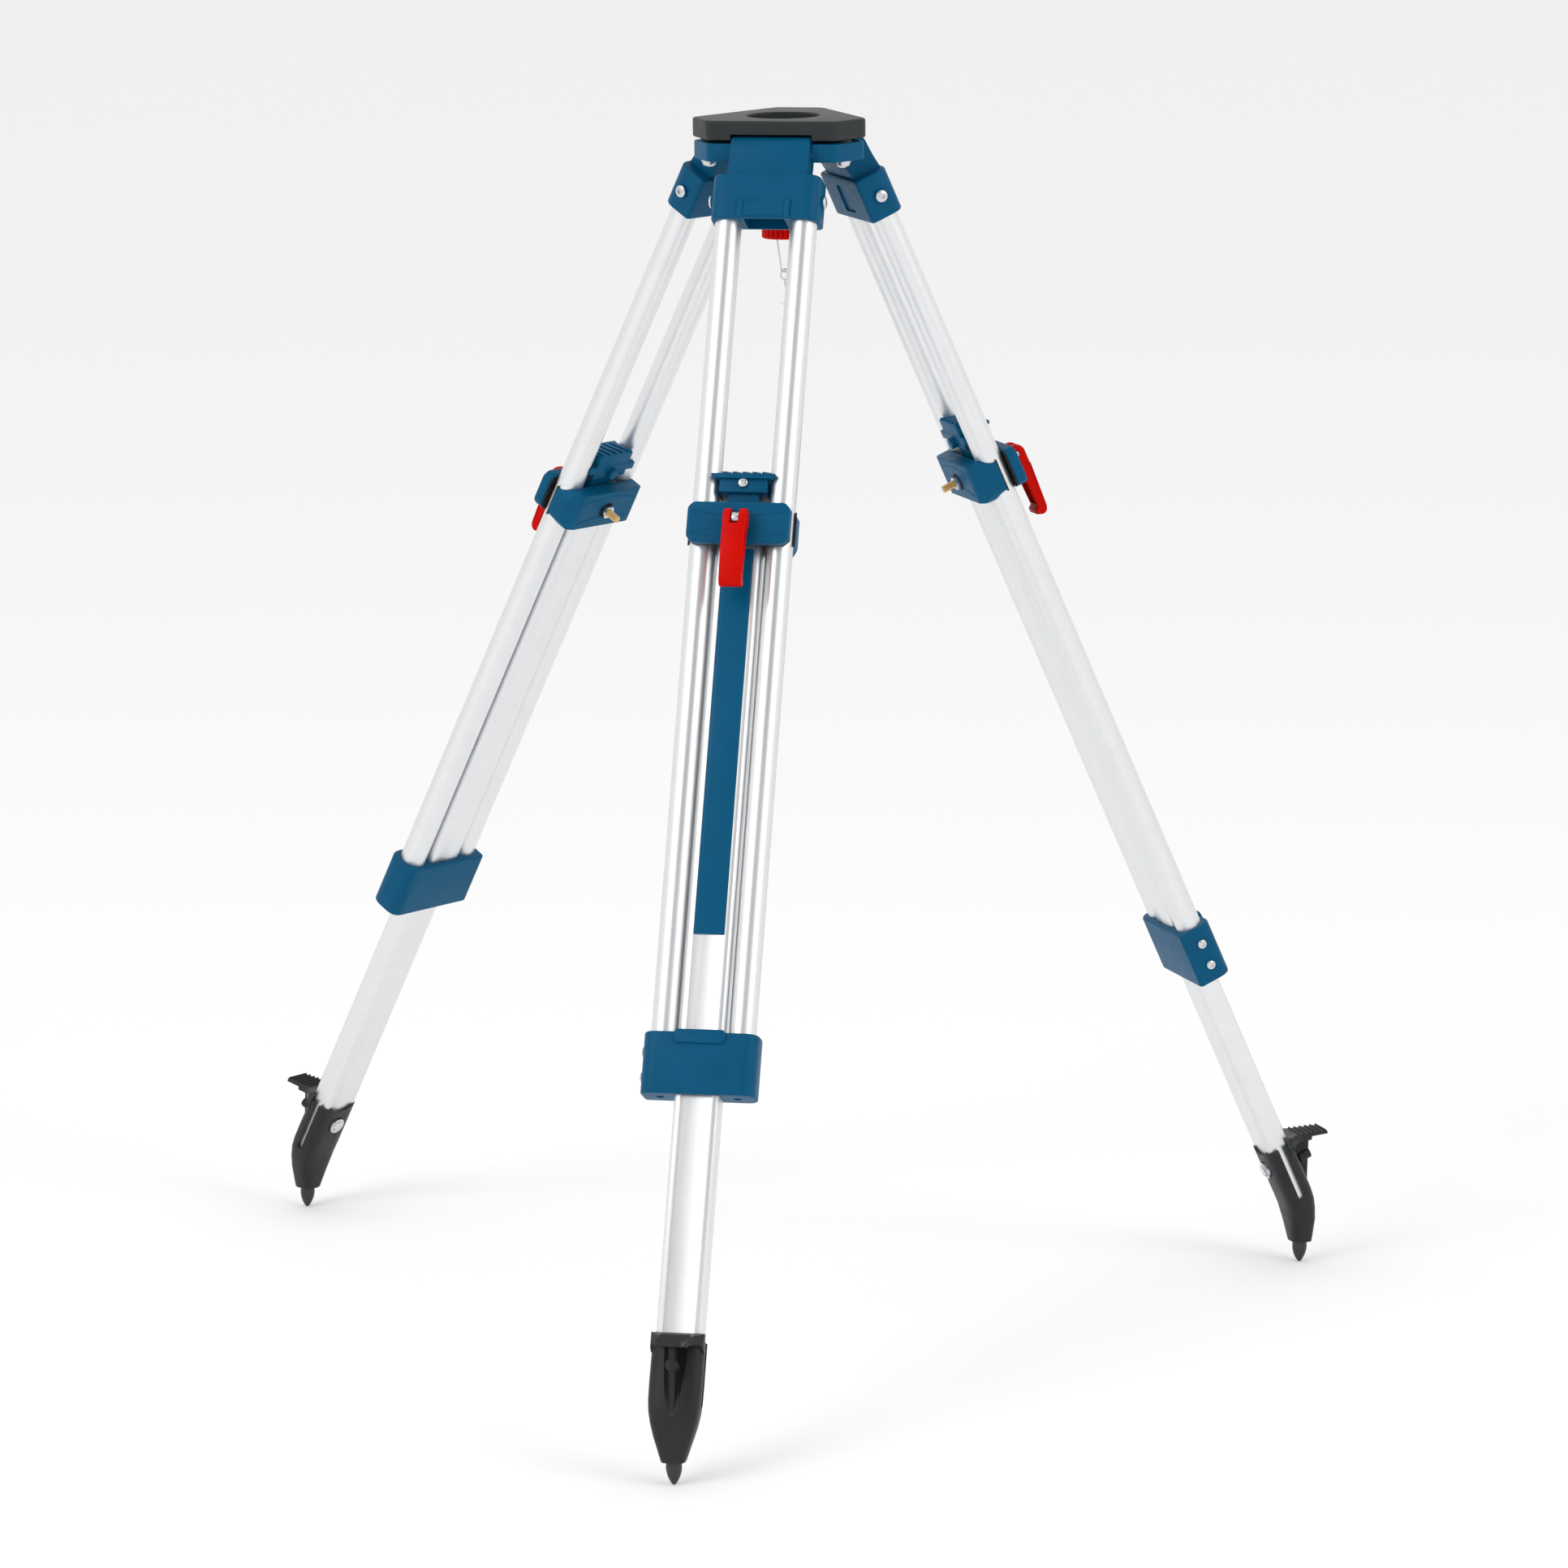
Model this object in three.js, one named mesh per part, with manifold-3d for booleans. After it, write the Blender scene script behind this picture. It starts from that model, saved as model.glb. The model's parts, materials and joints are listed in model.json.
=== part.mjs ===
// Surveyor's tripod with a flat head and three telescopic legs, standing on its feet.
// Millimetres, +Z up, the front leg towards -Y, the floor at z = 0.
import * as THREE from 'three';
import { mergeVertices } from 'three/addons/utils/BufferGeometryUtils.js';
import Module from 'manifold-3d';

const wasm = await Module();
wasm.setup();

const { degToRad } = THREE.MathUtils;

// ---- driving dimensions ----------------------------------------------------------------

const GAP = 0.3; // clearance between pieces that touch
const ROUND = 16; // sides of a round piece
const SMALL = 10; // sides of a pin, a screw and their holes

// The pose that the tripod stands in: splay is each leg's angle from the vertical.
const LEGS = [
  { name: 'front', azimuth: -90, splay: 25.8, stripLength: 374 },
  { name: 'left', azimuth: 150, splay: 29.2, stripLength: 520 },
  { name: 'right', azimuth: 30, splay: 23.65, stripLength: 374 },
];

const HEAD_HEIGHT = 1200; // floor to the top of the head plate
const SIDE_DISTANCE = 64; // head axis to a side of the head plate that faces a leg
const CORNER_DISTANCE = 86; // head axis to a cut corner of the head plate
const PLATE_THICKNESS = 19;
const PLATE_BORE = 35.5;
const BASE_TOP = -22; // base heights count from the top of the head plate
const BASE_BOTTOM = -40;
const BASE_BORE = 36;
const BASE_SIDE = 61.4; // head axis to the base's sides and cut corners
const BASE_CORNER = 85;
const HINGE_DROP = 33.6; // plate top to the hinge axis
const HINGE_RADIUS = 55.2; // head axis to the hinge axis
const PIN_RADIUS = 4;
const NECK_HALF = 38.8; // half the width of a leg bracket's neck
const NECK_FRONT = 18.5; // hinge axis to the neck's outer face
const NECK_BACK = 11.5; // hinge axis to the neck's inner face
const LEG_OFFSET = 6; // the leg's axis runs this far outwards of the hinge axis

const TUBE_RADIUS = 13;
const TUBE_BORE = 11.8;
const TUBE_OFFSET = 36.75; // leg axis to a tube axis
const TUBE_TOP = -40; // leg heights count down the leg from its hinge
const TUBE_BOTTOM = -914;
const BRACKET_TOP = -27;
const BRACKET_BOTTOM = -72;
const COLLAR_TOP = -871;
const COLLAR_BOTTOM = -930;

const EXTENSION_HALF_WIDTH = 21.75;
const EXTENSION_HALF_DEPTH = 12.5;
const EXTENSION_CORNER = 6;
const EXTENSION_WALL = 1.8;
const CHANNEL_HALF = 14.9; // shallow channel for the strip in the extension's outer face
const CHANNEL_DEPTH = 1.1;
const STRIP_THICKNESS = 1.4;

const FOOT_LENGTH = 909; // clamp centre to the foot's point, along the leg
const CLAMP_HALF_HEIGHT = 20;
const CLAMP_HALF_WIDTH = 49.5;
const CLAMP_FACE = 26; // leg axis to the clamp's front face
const BOLT_RADIUS = 3.9;
const LEVER_PIVOT = -36;
const KNUCKLE_RADIUS = 9.7;
const LEVER_HALF_WIDTH = 11.4;
const BOOT_TOP = -781; // foot heights count down from the clamp centre
const TIP_RADIUS = 7.6;
const TIP_LENGTH = 22;
const TIP_INSET = 22.2; // the foot's point sits this far inwards of the leg axis
const FOOT_CANT = 25; // the foot bends inwards by this angle, to stand upright
const PEDAL_REACH = 56; // leg axis to the pedal's outer end
const PEDAL_ROOT = BOOT_TOP + 4; // the pedal's top, where it leaves the boot
const PEDAL_SLOPE = 0.357;
const FOOT_SCREW = BOOT_TOP - 22;

const KNOB_TOP = -84; // screw heights count from the top of the head plate
const KNOB_BOTTOM = -119;
const KNOB_RADIUS = 22;
const SCREW_RADIUS = 7.9;
const SCREW_TOP = -12;
const ARM_TOP = -40.6;
const ARM_BOTTOM = -44.6;
const ARM_PIVOT = 66; // head axis to the arm's pivot bolt
const WIRE = 0.9;

// ---- materials -------------------------------------------------------------------------

const finish = (color, roughness, metalness) => (
  new THREE.MeshStandardMaterial({ color, roughness, metalness })
);
const BLUE = finish(0x155073, 0.42, 0);
const PLATE_GREY = finish(0x3c4043, 0.55, 0.1);
const ALUMINIUM = finish(0xdfe1e2, 0.32, 1);
const STEEL = finish(0xc2c5c7, 0.25, 1);
const BRASS = finish(0xb08d4a, 0.3, 1);
const RED = finish(0xd81410, 0.38, 0);
const BLACK = finish(0x34383a, 0.5, 0);

// ---- solids ----------------------------------------------------------------------------

function toSolid(geometry) {
  const bare = geometry.clone();
  bare.deleteAttribute('normal');
  bare.deleteAttribute('uv');
  const merged = mergeVertices(bare, 1e-4);
  return new wasm.Manifold(new wasm.Mesh({
    numProp: 3,
    vertProperties: Float32Array.from(merged.attributes.position.array),
    triVerts: Uint32Array.from(merged.index.array),
  }));
}

function toGeometry(solid) {
  const { vertProperties, triVerts } = solid.getMesh();
  const geometry = new THREE.BufferGeometry();
  geometry.setAttribute('position', new THREE.BufferAttribute(vertProperties, 3));
  geometry.setIndex(new THREE.BufferAttribute(triVerts, 1));
  geometry.computeVertexNormals();
  return geometry;
}

const cut = (geometry, ...tools) => (
  toGeometry(tools.reduce((solid, tool) => solid.subtract(toSolid(tool)), toSolid(geometry)))
);
const join = (geometry, ...others) => (
  toGeometry(others.reduce((solid, other) => solid.add(toSolid(other)), toSolid(geometry)))
);
const overlap = (geometry, ...others) => (
  toGeometry(others.reduce((solid, other) => solid.intersect(toSolid(other)), toSolid(geometry)))
);

function box([x0, x1], [y0, y1], [z0, z1]) {
  const geometry = new THREE.BoxGeometry(x1 - x0, y1 - y0, z1 - z0);
  return geometry.translate((x0 + x1) / 2, (y0 + y1) / 2, (z0 + z1) / 2);
}

function rodZ(radius, [z0, z1], x = 0, y = 0, sides = ROUND) {
  const geometry = new THREE.CylinderGeometry(radius, radius, z1 - z0, sides);
  return geometry.rotateX(Math.PI / 2).translate(x, y, (z0 + z1) / 2);
}

function rodX(radius, [x0, x1], y = 0, z = 0, sides = ROUND) {
  const geometry = new THREE.CylinderGeometry(radius, radius, x1 - x0, sides);
  return geometry.rotateZ(Math.PI / 2).translate((x0 + x1) / 2, y, z);
}

function rodY(radius, [y0, y1], x = 0, z = 0, sides = ROUND) {
  const geometry = new THREE.CylinderGeometry(radius, radius, y1 - y0, sides);
  return geometry.translate(x, (y0 + y1) / 2, z);
}

// A closed outline with each corner rounded by its own radius, or by the one given.
function outline(points, radius = 0) {
  const corners = points.map(([x, y, own]) => ({ at: new THREE.Vector2(x, y), own }));
  const shape = new THREE.Shape();
  corners.forEach(({ at, own = radius }, index) => {
    const before = corners.at(index - 1).at;
    const after = corners[(index + 1) % corners.length].at;
    const start = before.clone().sub(at).setLength(own).add(at);
    const end = after.clone().sub(at).setLength(own).add(at);
    if (index === 0) {
      shape.moveTo(start.x, start.y);
    } else {
      shape.lineTo(start.x, start.y);
    }
    if (own > 0) {
      shape.quadraticCurveTo(at.x, at.y, end.x, end.y);
    }
  });
  shape.closePath();
  return shape;
}

const rectangle = (halfX, halfY, radius) => (
  outline([[-halfX, -halfY], [halfX, -halfY], [halfX, halfY], [-halfX, halfY]], radius)
);

// An outline in x and y, extruded up z, with its two ends chamfered by bevel.
function prism(shape, [z0, z1], bevel = 0, curveSegments = 3) {
  const geometry = new THREE.ExtrudeGeometry(shape, {
    depth: z1 - z0 - 2 * bevel,
    curveSegments,
    bevelEnabled: bevel > 0,
    bevelThickness: bevel,
    bevelSize: bevel,
    bevelOffset: -bevel,
    bevelSegments: 1,
  });
  return geometry.translate(0, 0, z0 + bevel);
}

// An outline in x and z, extruded along y.
const panel = (shape, [y0, y1], bevel = 0) => (
  prism(shape, [-y1, -y0], bevel).rotateX(Math.PI / 2)
);

// An outline in y and z, extruded along x.
function slab(shape, [x0, x1], bevel = 0) {
  const cycle = new THREE.Matrix4().set(0, 0, 1, 0, 1, 0, 0, 0, 0, 1, 0, 0, 0, 0, 0, 1);
  return prism(shape, [x0, x1], bevel).applyMatrix4(cycle);
}

// A bent round wire through the points, with each corner rounded.
function wire(points, bend, steps) {
  const path = new THREE.CurvePath();
  let from = points[0];
  points.slice(1, -1).forEach((corner, index) => {
    const start = from.clone().sub(corner).setLength(bend).add(corner);
    const end = points[index + 2].clone().sub(corner).setLength(bend).add(corner);
    path.add(new THREE.LineCurve3(from, start));
    path.add(new THREE.QuadraticBezierCurve3(start, corner, end));
    from = end;
  });
  path.add(new THREE.LineCurve3(from, points.at(-1)));
  const section = new THREE.Shape().absarc(0, 0, WIRE, 0, 2 * Math.PI);
  return new THREE.ExtrudeGeometry(section, {
    steps,
    curveSegments: 3,
    extrudePath: path,
  });
}

function piece(name, geometry, material) {
  const mesh = new THREE.Mesh(geometry, material);
  mesh.name = name;
  return mesh;
}

// ---- head ------------------------------------------------------------------------------

// A triangle with cut corners: its sides face the legs and its corners lie between them.
function headOutline(side, corner, cornerRadius) {
  const points = [];
  for (let index = 0; index < 6; index += 1) {
    const [near, next] = index % 2 === 0 ? [side, corner] : [corner, side];
    const normal = degToRad(60 * index - 90);
    const along = (next - near * Math.cos(Math.PI / 3)) / Math.sin(Math.PI / 3);
    points.push([
      near * Math.cos(normal) - along * Math.sin(normal),
      near * Math.sin(normal) + along * Math.cos(normal),
    ]);
  }
  return outline(points, cornerRadius);
}

// The same cutting tool, turned to each of the three legs.
const atEachLeg = (makeTool) => (
  LEGS.map(({ azimuth }) => makeTool().rotateZ(degToRad(azimuth + 90)))
);

function headPlate() {
  const notchTop = -PLATE_THICKNESS + 6;
  const notch = () => (
    box([-NECK_HALF - 1, NECK_HALF + 1], [-SIDE_DISTANCE - 5, -42], [-30, notchTop])
  );
  return cut(
    prism(headOutline(SIDE_DISTANCE, CORNER_DISTANCE, 7), [-PLATE_THICKNESS, 0], 2),
    rodZ(PLATE_BORE, [-30, 10], 0, 0, 2 * ROUND),
    ...atEachLeg(notch),
  );
}

function headBase() {
  const notch = () => (
    box([-NECK_HALF - 0.6, NECK_HALF + 0.6], [-90, -HINGE_RADIUS + NECK_BACK + 1.4], [-50, 0])
  );
  const pinHole = () => rodX(PIN_RADIUS + GAP, [-56, 56], -HINGE_RADIUS, -HINGE_DROP, SMALL);
  return cut(
    prism(headOutline(BASE_SIDE, BASE_CORNER, 4), [BASE_BOTTOM, BASE_TOP], 1),
    rodZ(BASE_BORE, [-50, 0]),
    rodZ(PIN_RADIUS + GAP, [-50, -25], 0, ARM_PIVOT, SMALL),
    ...atEachLeg(notch),
    ...atEachLeg(pinHole),
  );
}

function centreArm() {
  const halfWidth = 17;
  const slotHalf = 11.4;
  const slotEnd = 22;
  const shape = outline(
    [[-halfWidth, -34], [halfWidth, -34], [halfWidth, 40], [9, 76], [-9, 76], [-halfWidth, 40]],
    6,
  );
  const slot = outline(
    [[-slotHalf, -slotEnd], [slotHalf, -slotEnd], [slotHalf, slotEnd], [-slotHalf, slotEnd]],
    6,
  );
  return cut(
    prism(shape, [ARM_BOTTOM, ARM_TOP]),
    prism(slot, [ARM_BOTTOM - 5, ARM_TOP + 5]),
    rodZ(PIN_RADIUS + GAP, [-60, -30], 0, ARM_PIVOT, SMALL),
  );
}

function armPivot() {
  const shank = rodZ(PIN_RADIUS, [ARM_BOTTOM - 1, -26], 0, ARM_PIVOT, SMALL);
  return join(shank, rodZ(8, [ARM_BOTTOM - 6, ARM_BOTTOM - GAP], 0, ARM_PIVOT, 6));
}

// A flanged bush that slides in the arm's slot and guides the centre screw.
function screwCarriage() {
  const flangeTop = ARM_BOTTOM - GAP;
  const body = join(
    rodZ(10.9, [flangeTop - 1, ARM_TOP]),
    rodZ(15.5, [flangeTop - 4, flangeTop]),
  );
  return cut(body, rodZ(SCREW_RADIUS + GAP, [-60, -30]));
}

function centreScrew() {
  const shoulderBase = ARM_TOP + 1;
  const profile = [
    [0, KNOB_BOTTOM + 9], [SCREW_RADIUS, KNOB_BOTTOM + 9], [SCREW_RADIUS, shoulderBase],
    [10.4, shoulderBase], [10.4, shoulderBase + 3.5], [SCREW_RADIUS, shoulderBase + 3.5],
    [SCREW_RADIUS, SCREW_TOP - 2], [SCREW_RADIUS - 1.8, SCREW_TOP], [0, SCREW_TOP],
  ];
  return lathe(profile, ROUND);
}

function lathe(profile, sides) {
  const points = profile.map(([radius, height]) => new THREE.Vector2(radius, height));
  return new THREE.LatheGeometry(points, sides).rotateX(Math.PI / 2);
}

function knob() {
  const lobes = 16;
  const grip = new THREE.Shape();
  for (let step = 0; step < lobes * 4; step += 1) {
    const angle = (2 * Math.PI * step) / (lobes * 4);
    const radius = KNOB_RADIUS + (step % 4 < 2 ? 0 : -1.4);
    const x = radius * Math.cos(angle);
    const y = radius * Math.sin(angle);
    if (step === 0) {
      grip.moveTo(x, y);
    } else {
      grip.lineTo(x, y);
    }
  }
  return cut(
    join(
      prism(grip, [KNOB_BOTTOM, KNOB_BOTTOM + 20]),
      rodZ(KNOB_RADIUS - 5, [KNOB_BOTTOM + 19, KNOB_TOP]),
    ),
    rodZ(SCREW_RADIUS + GAP, [KNOB_BOTTOM + 8.6, 0]),
    rodZ(12, [KNOB_BOTTOM - 1, KNOB_BOTTOM + 7]),
    rodX(WIRE + GAP, [-16, 16], 0, KNOB_BOTTOM + 4, 6),
  );
}

// The stirrup that swings in the knob and carries the plumb hook's ring.
function plumbBail() {
  const pivot = KNOB_BOTTOM + 4;
  const bottom = KNOB_BOTTOM - 33.4;
  const at = (x, z) => new THREE.Vector3(x, 0, z);
  return wire([
    at(-15, pivot), at(-8, pivot), at(-3, bottom), at(3, bottom), at(8, pivot), at(15, pivot),
  ], 2.6, 30);
}

function plumbHook() {
  const ringTop = KNOB_BOTTOM - 31;
  const ringRadius = 5;
  const ring = new THREE.TorusGeometry(ringRadius, WIRE, 6, 14);
  ring.rotateX(Math.PI / 2).rotateZ(degToRad(50));
  const at = (x, drop) => new THREE.Vector3(x, 0, ringTop - drop);
  const hook = wire([
    at(0, 2 * ringRadius - 0.5), at(0, 16), at(5, 23), at(5, 33), at(0, 36), at(-3.5, 31),
  ], 2.4, 22);
  return join(ring.translate(0, 0, ringTop - ringRadius), hook);
}

function buildHead() {
  const head = new THREE.Group();
  head.add(
    piece('head_plate', headPlate(), PLATE_GREY),
    piece('head_base', headBase(), BLUE),
    piece('centre_arm', centreArm(), STEEL),
    piece('arm_pivot_bolt', armPivot(), STEEL),
    piece('screw_carriage', screwCarriage(), STEEL),
    piece('centre_screw', centreScrew(), STEEL),
    piece('knob', knob(), RED),
    piece('plumb_bail', plumbBail(), STEEL),
    piece('plumb_hook', plumbHook(), STEEL),
  );
  return head;
}

// ---- upper leg: x across the leg, y inwards, z up the leg, from beside the hinge ---------

// A housing round the two tubes: round outside, with a flat inner face.
const housing = (halfWidth, halfDepth) => outline([
  [-halfWidth, -halfDepth, 15], [halfWidth, -halfDepth, 15],
  [halfWidth, halfDepth, 5], [-halfWidth, halfDepth, 5],
]);

const tubeHoles = (radius, range, sides = ROUND) => (
  [-TUBE_OFFSET, TUBE_OFFSET].map((x) => rodZ(radius, range, x, 0, sides))
);

function bracket() {
  const neckProfile = new THREE.Shape();
  neckProfile.moveTo(LEG_OFFSET + NECK_BACK, 3);
  neckProfile.lineTo(LEG_OFFSET + 6, 10);
  neckProfile.lineTo(LEG_OFFSET, NECK_FRONT);
  neckProfile.absarc(LEG_OFFSET, 0, NECK_FRONT, Math.PI / 2, Math.PI);
  neckProfile.quadraticCurveTo(LEG_OFFSET - NECK_FRONT - 0.5, -14, -16.5, BRACKET_TOP - 3);
  neckProfile.lineTo(14, BRACKET_TOP - 3);
  neckProfile.lineTo(LEG_OFFSET + NECK_BACK, -10);
  const fins = [-25.5, 20.5].map((x) => (
    slab(outline([[-20.4, -54], [-16, -52], [-16, BRACKET_BOTTOM + 1], [-20.4, BRACKET_BOTTOM + 1]]),
      [x, x + 5])
  ));
  const bosses = [-1, 1].map((side) => rodX(6, [side * 53 - 2, side * 53 + 2], 0, -50, SMALL));
  const body = join(
    prism(housing(53, 18.2), [BRACKET_BOTTOM, BRACKET_TOP], 1.5),
    slab(neckProfile, [-NECK_HALF, NECK_HALF], 1),
    box([-24, 24], [-19.2, -16], [BRACKET_BOTTOM + 2, -55]),
    ...fins,
    ...bosses,
  );
  return cut(
    body,
    rodX(PIN_RADIUS + GAP, [-60, 60], LEG_OFFSET, 0, SMALL),
    ...tubeHoles(TUBE_RADIUS + GAP, [BRACKET_BOTTOM - 5, TUBE_TOP + GAP]),
    box([-20, 20], [-14.5, 14.5], [BRACKET_BOTTOM - 5, -44]),
    box([-14, 14], [16.4, 30], [-64, -36]),
  );
}

function tube(side) {
  const profile = [
    [TUBE_BORE, TUBE_BOTTOM], [TUBE_RADIUS, TUBE_BOTTOM],
    [TUBE_RADIUS, TUBE_TOP], [TUBE_BORE, TUBE_TOP], [TUBE_BORE, TUBE_BOTTOM],
  ];
  return lathe(profile, ROUND).translate(side * TUBE_OFFSET, 0, 0);
}

function collar() {
  const middle = (COLLAR_TOP + COLLAR_BOTTOM) / 2;
  const slot = rectangle(EXTENSION_HALF_WIDTH + 0.5, EXTENSION_HALF_DEPTH + 0.5, EXTENSION_CORNER);
  const stripRelief = STRIP_THICKNESS + 0.6;
  const tab = outline([[-25, -7], [25, -7], [25, 6], [-25, 6]], 3);
  const body = join(
    prism(housing(54.6, 18.4), [COLLAR_BOTTOM, COLLAR_TOP], 1.5),
    panel(tab, [-20.6, -16]).translate(0, 0, COLLAR_TOP - 4),
    ...[-12, 12].map((offset) => rodX(5.5, [-56, -51], 0, middle + offset, SMALL)),
  );
  return cut(
    body,
    prism(slot, [COLLAR_BOTTOM - 5, COLLAR_TOP + 12]),
    box(
      [-CHANNEL_HALF - 0.5, CHANNEL_HALF + 0.5],
      [-EXTENSION_HALF_DEPTH - stripRelief, 0],
      [COLLAR_BOTTOM - 5, COLLAR_TOP + 12],
    ),
    ...tubeHoles(TUBE_RADIUS + GAP, [TUBE_BOTTOM - GAP, COLLAR_TOP + 12]),
    ...tubeHoles(4, [COLLAR_BOTTOM - 5, TUBE_BOTTOM], SMALL),
  );
}

function buildUpperLeg(name) {
  return [
    piece(`bracket_${name}`, bracket(), BLUE),
    piece(`tube_a_${name}`, tube(-1), ALUMINIUM),
    piece(`tube_b_${name}`, tube(1), ALUMINIUM),
    piece(`collar_${name}`, collar(), BLUE),
  ];
}

// ---- sliding leg: the same axes, from the clamp's centre --------------------------------

function extension() {
  const section = rectangle(EXTENSION_HALF_WIDTH, EXTENSION_HALF_DEPTH, EXTENSION_CORNER);
  const bore = rectangle(
    EXTENSION_HALF_WIDTH - EXTENSION_WALL,
    EXTENSION_HALF_DEPTH - EXTENSION_WALL - CHANNEL_DEPTH,
    EXTENSION_CORNER - 2,
  );
  section.holes.push(new THREE.Path(bore.getPoints(5)));
  const top = 14;
  const bottom = BOOT_TOP - 62;
  return cut(
    prism(section, [bottom, top]),
    box(
      [-CHANNEL_HALF, CHANNEL_HALF],
      [-EXTENSION_HALF_DEPTH - 5, -EXTENSION_HALF_DEPTH + CHANNEL_DEPTH],
      [bottom - 5, top + 5],
    ),
    rodY(BOLT_RADIUS + GAP, [-20, 20], 0, 0, SMALL),
    rodY(3.8, [0, 20], 0, FOOT_SCREW, SMALL),
  );
}

// The carriage head: a block between the tubes, with horns that guide it on both of them.
function cap() {
  const halfWidth = 23.2;
  const block = outline([[-14, 33], [14, 31], [14, 59.5], [-14, 51.5]]);
  const ridges = [-19, -9.5, 0, 9.5, 19].map((x) => (
    slab(outline([[-13, 51], [13, 58.4], [13, 60.4], [-13, 53]]), [x - 2, x + 2])
  ));
  const guides = cut(
    join(
      slab(block, [-halfWidth, halfWidth], 0.8),
      box([-32, 32], [-18, -8], [45.5, 50.5]),
      box([-32, 32], [8, 14.6], [38, 46]),
      ...ridges,
    ),
    ...tubeHoles(TUBE_RADIUS + 0.6, [0, 80]),
  );
  return join(
    guides,
    prism(rectangle(15.5, 8.6, 3), [6, 34]),
    rodY(5, [-15.4, -10], 0, 42, SMALL),
    rodY(5.8, [10, 20], 0, 38, SMALL),
  );
}

// A rectangle in x and z with its four corners cut off.
const chamfered = (halfX, halfZ, size) => outline([
  [-halfX + size, -halfZ], [halfX - size, -halfZ], [halfX, -halfZ + size], [halfX, halfZ - size],
  [halfX - size, halfZ], [-halfX + size, halfZ], [-halfX, halfZ - size], [-halfX, -halfZ + size],
]);

function clampFront() {
  const boltHole = rodY(BOLT_RADIUS + GAP, [-40, 0], 0, 0, SMALL);
  const ribs = [-11, 11].map((z) => box([-44, 44], [-CLAMP_FACE - 0.9, -20], [z - 1.4, z + 1.4]));
  const body = join(
    panel(chamfered(CLAMP_HALF_WIDTH, CLAMP_HALF_HEIGHT, 5), [-CLAMP_FACE, -13.4], 1.2),
    ...ribs,
  );
  return cut(
    body,
    boltHole,
    ...tubeHoles(TUBE_RADIUS + GAP, [-40, 40]),
    box([-CHANNEL_HALF - 1, CHANNEL_HALF + 1], [-15.4, -5], [-40, 40]),
    box([-14, 14], [-CLAMP_FACE - 5, -CLAMP_FACE], [-14.2, 14.2]),
  );
}

function clampBack() {
  const depth = 27;
  const wrap = outline([
    [-CLAMP_HALF_WIDTH - 2.5, -3], [CLAMP_HALF_WIDTH + 2.5, -3], [CLAMP_HALF_WIDTH + 2.5, 16, 3],
    [CLAMP_HALF_WIDTH - 8, depth, 3], [-CLAMP_HALF_WIDTH + 8, depth, 3],
    [-CLAMP_HALF_WIDTH - 2.5, 16, 3],
  ]);
  const sideView = outline([[-10, -16], [10, -22], [40, -16], [40, 22], [10, 22], [-10, 16]]);
  const body = overlap(
    prism(wrap, [-22, 22], 1),
    slab(sideView, [-80, 80]),
    panel(chamfered(CLAMP_HALF_WIDTH + 2.5, 22, 6), [-10, 40]),
  );
  return cut(
    body,
    rodY(BOLT_RADIUS + GAP, [0, 40], 0, 0, SMALL),
    rodY(9, [depth - 3, 40]),
    ...tubeHoles(TUBE_RADIUS + GAP, [-40, 40]),
    box([-TUBE_OFFSET, TUBE_OFFSET], [-10, EXTENSION_HALF_DEPTH + GAP], [-40, 40]),
    ...[-1, 1].map((side) => (
      box([side * TUBE_OFFSET - TUBE_RADIUS - GAP, side * TUBE_OFFSET + TUBE_RADIUS + GAP],
        [-10, 0], [-40, 40])
    )),
  );
}

function clampBolt() {
  const eye = rodX(6.4, [-3.8, 3.8], LEVER_PIVOT);
  return cut(
    join(rodY(BOLT_RADIUS, [LEVER_PIVOT, 45], 0, 0, SMALL), eye),
    rodX(3.3, [-10, 10], LEVER_PIVOT, 0, SMALL),
  );
}

const clampNut = () => cut(
  rodY(7.4, [24 + GAP, 32], 0, 0, 6),
  rodY(BOLT_RADIUS + GAP, [0, 50], 0, 0, SMALL),
);

// The red cam lever, closed: its round knuckle bears on the clamp's front plate.
function lever() {
  const halfWidth = LEVER_HALF_WIDTH;
  const profile = new THREE.Shape();
  profile.moveTo(LEVER_PIVOT + KNUCKLE_RADIUS, 0);
  profile.absarc(LEVER_PIVOT, 0, KNUCKLE_RADIUS, 0, Math.PI);
  profile.lineTo(LEVER_PIVOT - 10.4, -14);
  profile.lineTo(-44.5, -60);
  profile.quadraticCurveTo(-43.5, -68, -37, -67.5);
  profile.lineTo(-31.5, -65);
  profile.lineTo(-31.5, -61);
  profile.lineTo(-35, -58);
  profile.lineTo(-33.5, -16);
  profile.quadraticCurveTo(LEVER_PIVOT + KNUCKLE_RADIUS, -10, LEVER_PIVOT + KNUCKLE_RADIUS, 0);
  return cut(
    slab(profile, [-halfWidth, halfWidth], 1),
    rodX(3.3, [-20, 20], LEVER_PIVOT, 0, SMALL),
    box([-4.4, 4.4], [-60, -20], [-7, 14]),
    box([-halfWidth + 2.6, halfWidth - 2.6], [-40, -30], [-56, -20]),
  );
}

const leverPin = () => (
  rodX(3, [0.4 - LEVER_HALF_WIDTH, LEVER_HALF_WIDTH - 0.4], LEVER_PIVOT, 0, SMALL)
);

function strip(length) {
  const outer = -EXTENSION_HALF_DEPTH + CHANNEL_DEPTH - GAP;
  const half = CHANNEL_HALF - GAP;
  const top = -CLAMP_HALF_HEIGHT - 3;
  const section = outline([
    [-half, outer], [-half, outer - 0.5], [-half + 3, outer - STRIP_THICKNESS],
    [half - 1, outer - STRIP_THICKNESS], [half, outer - 0.5], [half, outer],
  ]);
  return prism(section, [top - length, top]);
}

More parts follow.
